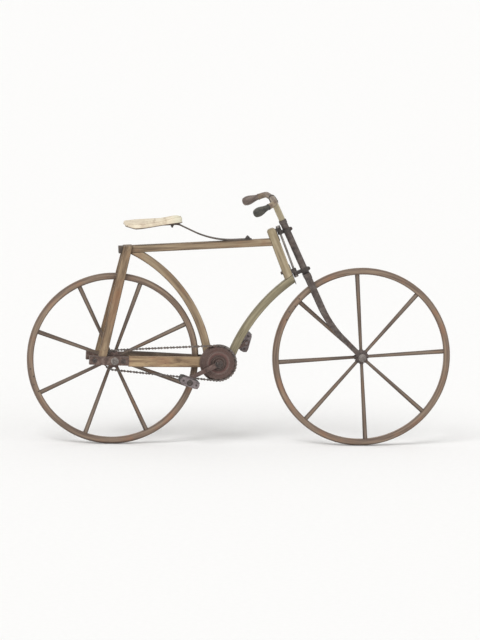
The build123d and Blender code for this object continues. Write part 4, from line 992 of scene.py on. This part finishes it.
pile.turned(LEAF_NUT, facing(foot, bar_up, LEAF_NUT_TURN), 6)
pile.dome(facing(foot + bar_up * LEAF_NUT[-1][1], bar_up), *LEAF_BOLT_END)
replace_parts(pile.piece("leaf_bolt_and_nut", "frame", "axle_steel", "bolt"), "leaf_bolt")
saddle_ahead, saddle_up = leaning(SADDLE_TILT)
pile = Pile()
for shift in SADDLE_BOLTS_AHEAD:
    base = saddle_ahead * shift - saddle_up * SADDLE_BOLTS_DOWN
    pile.bolt(facing(base, -saddle_up), *SADDLE_BOLT)
    pile.turned(SADDLE_BOLT_END, facing(base, -saddle_up), 16)
pile.piece("saddle_bolts", "frame", "axle_steel", "bolt")

# Saddle: pear-shaped leather over the pan, with a climbing top, a raised nose and a deep skirt behind
SADDLE_REAR = -0.0848
SADDLE_NOSE = 0.1538
SADDLE_LENGTH = SADDLE_NOSE - SADDLE_REAR
SADDLE_STATIONS = 56
SADDLE_COLUMNS = 18
REAR_CORNER = (-0.023, 0.033, 0.062)
NOSE_CIRCLE = (0.1265, 0.0275)
FLANK_START = (0.00366, 0.08898)
FLANK_END = (0.1383, 0.02483)
FLANK_PINCH = 0.0035
TOP_RISE = 0.0006
TOP_CLIMB = 0.0105
NOSE_RISE = 0.0065
TAIL_RISE = 0.0035
EDGE_DROP = 0.0062
EDGE_POWER = 3.2
END_DROP = 0.0045
WRINKLE = 0.0007
SKIRT_HEIGHT = -0.0125
SKIRT_DEPTH = 0.0075
LEATHER_THICK = 0.0034
LEATHER_UNDERSIDE = -0.0120
THINNEST_HALF = 0.0015


def on_saddle(x, y, z):
    """A point from how far ahead, to the left and up it is in the saddle's own tilted frame."""
    return saddle_ahead * x + LEFT * y + saddle_up * z


def eased(share):
    """A share kept between 0 and 1, with a soft start and end."""
    share = min(max(share, 0.0), 1.0)
    return share * share * (3 - 2 * share)


def saddle_half_width(x):
    """Half the saddle's width along it: round at the rear, straight and a little pinched to the nose."""
    if x < FLANK_START[0]:
        corner_x, corner_y, radius = REAR_CORNER
        return corner_y + max(radius ** 2 - (x - corner_x) ** 2, 0.0) ** 0.5
    if x > FLANK_END[0]:
        nose_x, radius = NOSE_CIRCLE
        return max(radius ** 2 - (x - nose_x) ** 2, 0.0) ** 0.5
    share = (x - FLANK_START[0]) / (FLANK_END[0] - FLANK_START[0])
    return FLANK_START[1] + (FLANK_END[1] - FLANK_START[1]) * share - FLANK_PINCH * sin(pi * share) ** 2


def saddle_middle(x):
    """Height of the saddle's top along its middle: it climbs to a round nose and turns up a little behind."""
    tip = max(0.0, (x - 0.128) / 0.026)
    tail = max(0.0, (-0.035 - x) / 0.050)
    climb = TOP_CLIMB * (x - SADDLE_REAR) / SADDLE_LENGTH
    nose = NOSE_RISE * (eased((x - 0.060) / 0.065) - tip * tip)
    return TOP_RISE + climb + nose + TAIL_RISE * tail ** 1.5


def saddle_edge_drop(middle):
    """How far the top falls from its middle to its edge."""
    return EDGE_DROP + 0.35 * middle


def skirt_edge(x):
    """Height of the leather's lower edge: deep at the sides behind, shallow at the very rear and the nose."""
    fade = min(max((x + 0.045) / 0.165, 0.0), 1.0)
    return SKIRT_HEIGHT - SKIRT_DEPTH * eased((x - SADDLE_REAR) / 0.040) * (1 - fade)


def saddle_rows():
    """Loops round the leather, from the rear to the nose: over the top, round its edge and under it."""
    rows = []
    for n in range(SADDLE_STATIONS + 1):
        x = SADDLE_REAR + (0.5 - 0.5 * cos(pi * n / SADDLE_STATIONS)) * SADDLE_LENGTH
        half = max(saddle_half_width(x), THINNEST_HALF)
        middle = saddle_middle(x)
        drop = saddle_edge_drop(middle)
        end = max(min(1.0, (x - SADDLE_REAR) / 0.010, (SADDLE_NOSE - x) / 0.012), 0.0) ** 0.5
        row = []
        for k in range(SADDLE_COLUMNS + 1):
            aside = sin((-1 + 2 * k / SADDLE_COLUMNS) * pi / 2)
            y = half * aside
            fall = abs(aside) ** EDGE_POWER
            wrinkle = WRINKLE * noise.noise((x * 60, y * 45, 3.0)) * (1 - fall)
            row.append((y, middle - drop * fall - (1 - end) * END_DROP * (1 - fall) + wrinkle))
        edge = skirt_edge(x)
        thick = min(LEATHER_THICK, 0.35 * half)
        flank = [
            (half + 0.0003, 0.5 * (middle - drop + edge)), (half, edge + 0.0014), (half - 0.3 * thick, edge),
            (half - 0.85 * thick, edge + 0.0003),
            (half - thick, max(edge + 0.0012, LEATHER_UNDERSIDE - 0.0003)),
            (half - 1.1 * thick, LEATHER_UNDERSIDE), (0.6 * half, LEATHER_UNDERSIDE),
        ]
        row += flank + [(0.0, LEATHER_UNDERSIDE)] + [(-y, z) for y, z in reversed(flank)]
        rows.append([on_saddle(x, y, z) for y, z in row])
    return rows


pile = Pile()
pile.rings(saddle_rows())
saddle = pile.piece("saddle", "frame", "saddle_leather", "saddle", sharp=80.0)
smooth = saddle.modifiers.new("smooth", "SUBSURF")
smooth.levels = 1
smooth.render_levels = 1
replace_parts(saddle, "saddle_pad")

# Stitches round the saddle's top, a dark bead round its lower edge as painted shade under the saddle, and
# tacks at the back
EDGE_STEPS = 240
STITCH_INSET = 0.0065
STITCH_STEP = 0.0065
STITCH_UP = 0.0001
STITCH_HALF_LENGTH = 0.0021
STITCH = ((-1.0, 0.0002), (-0.7, 0.0006), (0.0, 0.0008), (0.7, 0.0006), (1.0, 0.0002))
# Painted shade: sizes of the dark bead under the saddle's edge that stands in for its shade, thicker towards
# the rear.
SHADE_BEAD_INSET = 0.0009
SHADE_BEAD_UP = 0.0004
SHADE_BEAD_STEPS = 160
SHADE_BEAD_RADIUS = 0.0016
SHADE_BEAD_SWELL = 0.0009
TACKS = 36
TACKS_BEHIND = -0.070
TACK_DOWN = 0.0086
TACK_SUNK = 0.0004
TACK = (0.0022, 0.0010)


def saddle_edge(inset):
    """Points round the saddle's plan, some way inside its edge, and the length of their line."""
    points = []
    for n in range(EDGE_STEPS + 1):
        x = SADDLE_REAR + inset + (SADDLE_LENGTH - 2 * inset) * (0.5 - 0.5 * cos(pi * n / EDGE_STEPS))
        points.append(Vector((x, max(saddle_half_width(x) - inset, 0.0), 0)))
    line = points + [Vector((p.x, -p.y, 0)) for p in reversed(points)]
    total = sum((b - a).length for a, b in zip(line, line[1:]))
    return line, total


def along_edge(line, distance):
    """The point at a distance along a line, and the line's heading there."""
    for one, two in zip(line, line[1:]):
        step = (two - one).length
        if distance <= step and step > 0:
            return one.lerp(two, distance / step), (two - one).normalized()
        distance -= step
    return line[-1], (line[-1] - line[-2]).normalized()


def saddle_height(x, y):
    """The saddle's top at a place."""
    half = max(saddle_half_width(x), THINNEST_HALF)
    middle = saddle_middle(x)
    return middle - saddle_edge_drop(middle) * min(abs(y) / half, 1.0) ** EDGE_POWER


line, total = saddle_edge(STITCH_INSET)
pile = Pile()
count = int(total / STITCH_STEP)
for n in range(count):
    point, heading = along_edge(line, (n + 0.5) * total / count)
    place = on_saddle(point.x, point.y, saddle_height(point.x, point.y) + STITCH_UP)
    run = on_saddle(heading.x, heading.y, 0).normalized()
    side = saddle_up.cross(run)
    rows = []
    for share, radius in STITCH:
        middle = place + run * share * STITCH_HALF_LENGTH
        turns = [k * pi / 3 for k in range(6)]
        rows.append([middle + side * radius * cos(a) + saddle_up * radius * sin(a) for a in turns])
    pile.rings(rows)
pile.piece("saddle_stitches", "frame", "saddle_leather", "thread")

# Painted shade: a dark leather bead round the skirt's lower edge stands in for the shade under the saddle.
line, total = saddle_edge(SHADE_BEAD_INSET)
rows = []
for n in range(SHADE_BEAD_STEPS + 1):
    point, heading = along_edge(line, n * total / SHADE_BEAD_STEPS)
    run = on_saddle(heading.x, heading.y, 0).normalized()
    side = saddle_up.cross(run)
    place = on_saddle(point.x, point.y, skirt_edge(point.x) + SHADE_BEAD_UP)
    thick = SHADE_BEAD_RADIUS + SHADE_BEAD_SWELL * exp(-((point.x + 0.035) / 0.022) ** 2)
    rows.append([place + (side * cos(k * pi / 4) + saddle_up * sin(k * pi / 4)) * thick for k in range(8)])
pile = Pile()
pile.rings(rows)
pile.piece("saddle_shade_bead", "frame", "saddle_leather", "shade_bead")

line, total = saddle_edge(0.0)
pile = Pile()
for n in range(TACKS):
    point, heading = along_edge(line, (n + 0.5) * total / TACKS)
    if point.x > TACKS_BEHIND:
        continue
    normal = Vector((heading.y, -heading.x, 0))
    if normal.dot(Vector((point.x - 0.02, point.y, 0))) < 0:
        normal = -normal
    direction = on_saddle(normal.x, normal.y, 0)
    pile.dome(facing(on_saddle(point.x, point.y, -TACK_DOWN) - direction * TACK_SUNK, direction), *TACK)
pile.piece("saddle_tacks", "frame", "axle_steel", "bolt")

# Grips: turned, narrow behind a bead at the bar, and fat towards the rounded end
GRIP_BACK = 0.008
BAR_HALF_WIDTH = 0.165
GRIP_START = 0.033
GRIP_BEAD = ((0.0118, -0.0006), (0.0128, 0.0), (0.0133, 0.0016), (0.0128, 0.0032), (0.0117, 0.0044))
GRIP_NECK = 0.0114
GRIP_SWELL = 0.0078
FATTEST_AT = 0.68


def grip(side, sign):
    """A grip on one end of the handlebar."""
    sweep = radians(GRIP_SWEEP)
    bar_x = leaning(GRIP_TILT)[0]
    heading = (bar_x * cos(sweep) + LEFT * sign * sin(sweep)).normalized()
    start = bar_middle - bar_x * GRIP_BACK + LEFT * sign * BAR_HALF_WIDTH + heading * GRIP_START
    bead = GRIP_BEAD[-1][1]
    profile = list(GRIP_BEAD)
    for n in range(1, 22):
        share = n / 24
        swell = 0.5 - 0.5 * cos(pi * share / FATTEST_AT)
        if share >= FATTEST_AT:
            swell = cos(pi * (share - FATTEST_AT) / 0.72)
        profile.append((GRIP_NECK + GRIP_SWELL * swell, bead + (GRIP_LENGTH - bead) * share))
    last = profile[-1]
    for n in range(1, 6):
        angle = radians(90 * n / 6)
        profile.append((last[0] * cos(angle), last[1] + (GRIP_LENGTH - last[1]) * sin(angle)))
    profile.append((0.0, GRIP_LENGTH))
    pile = Pile()
    pile.turned(profile, facing(start, heading), 48)
    # The right grip takes the darker colour, the left one the lighter.
    slot = "grip_dark" if sign < 0 else "grip_worn"
    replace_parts(pile.piece(f"handle_grip_{side}", "steering", slot, f"grip_{side}"), f"grip_{side}")


for side, sign in SIDES:
    grip(side, sign)

# Floor, light and camera
FLOOR_UP = cad_box[0][2]
FLOOR_REACH = 70.0
floor_net = Net("floor_paper")
grainy = floor_net.noise(floor_net.position, 40.0, 4.0, 0.6)
floor_look = floor_net.finish(floor_net.spread(grainy, 0.3, 0.7, 0.91, 0.93), 0.9)
floor_mesh = bpy.data.meshes.new("floor")
corners = ((-1, -1), (1, -1), (1, 1), (-1, 1))
floor_mesh.from_pydata([(x * FLOOR_REACH, y * FLOOR_REACH, FLOOR_UP) for x, y in corners], [], [(0, 1, 2, 3)])
floor = bpy.data.objects.new("floor", floor_mesh)
floor_mesh.materials.append(floor_look)
bpy.context.scene.collection.objects.link(floor)

world = bpy.data.worlds.new("studio")
bpy.context.scene.world = world
world.use_nodes = True
tree = world.node_tree
light_sky = tree.nodes["Background"]
light_sky.inputs["Color"].default_value = (1.0, 0.99, 0.97, 1.0)
light_sky.inputs["Strength"].default_value = 0.62
seen_sky = tree.nodes.new("ShaderNodeBackground")
seen_sky.inputs["Color"].default_value = (0.97, 0.97, 0.965, 1.0)
rays = tree.nodes.new("ShaderNodeLightPath")
mixed = tree.nodes.new("ShaderNodeMixShader")
shown = rays.outputs["Is Camera Ray"]
for kind in ("Is Glossy Ray", "Is Transmission Ray"):
    either = tree.nodes.new("ShaderNodeMath")
    either.operation = "MAXIMUM"
    tree.links.new(shown, either.inputs[0])
    tree.links.new(rays.outputs[kind], either.inputs[1])
    shown = either.outputs[0]
tree.links.new(shown, mixed.inputs[0])
tree.links.new(light_sky.outputs[0], mixed.inputs[1])
tree.links.new(seen_sky.outputs[0], mixed.inputs[2])
tree.links.new(mixed.outputs[0], tree.nodes["World Output"].inputs["Surface"])


def sun(name, strength, from_point, spread_angle):
    """A soft lamp that shines from a point towards the origin."""
    lamp = bpy.data.lights.new(name, "SUN")
    lamp.energy = strength
    lamp.angle = radians(spread_angle)
    made = bpy.data.objects.new(name, lamp)
    made.rotation_euler = (-Vector(from_point)).to_track_quat("-Z", "Y").to_euler()
    bpy.context.scene.collection.objects.link(made)


sun("key", 1.7, (-1.2, -2.2, 2.4), 28.0)
sun("fill", 0.5, (2.0, -2.0, 1.2), 50.0)

# Camera: a long lens from the right side, a little from behind and above, rolled as in the picture
AZIMUTH = -96.5
ELEVATION = 7.6
ROLL = 1.41
LENS = 400.0
SENSOR = 36.0
FARTHEST = 300.0
SEEN_WIDTH = 1.98
PICTURE = (480, 640)
middle = Vector(((cad_box[0][0] + cad_box[1][0]) / 2, 0, (cad_box[0][2] + cad_box[1][2]) / 2))
toward = Vector((
    cos(radians(AZIMUTH)) * cos(radians(ELEVATION)),
    sin(radians(AZIMUTH)) * cos(radians(ELEVATION)),
    sin(radians(ELEVATION)),
))
lens = bpy.data.cameras.new("camera")
lens.lens = LENS
lens.sensor_width = SENSOR
lens.clip_end = FARTHEST
distance = SEEN_WIDTH * LENS / (SENSOR * PICTURE[0] / PICTURE[1])
camera = bpy.data.objects.new("camera", lens)
camera.location = middle + toward * distance
camera.rotation_euler = (
    (-toward).to_track_quat("-Z", "Y").to_matrix().to_4x4() @ Matrix.Rotation(radians(ROLL), 4, "Z")
).to_euler()
bpy.context.scene.collection.objects.link(camera)
bpy.context.scene.camera = camera
bpy.context.scene.view_settings.view_transform = "Standard"
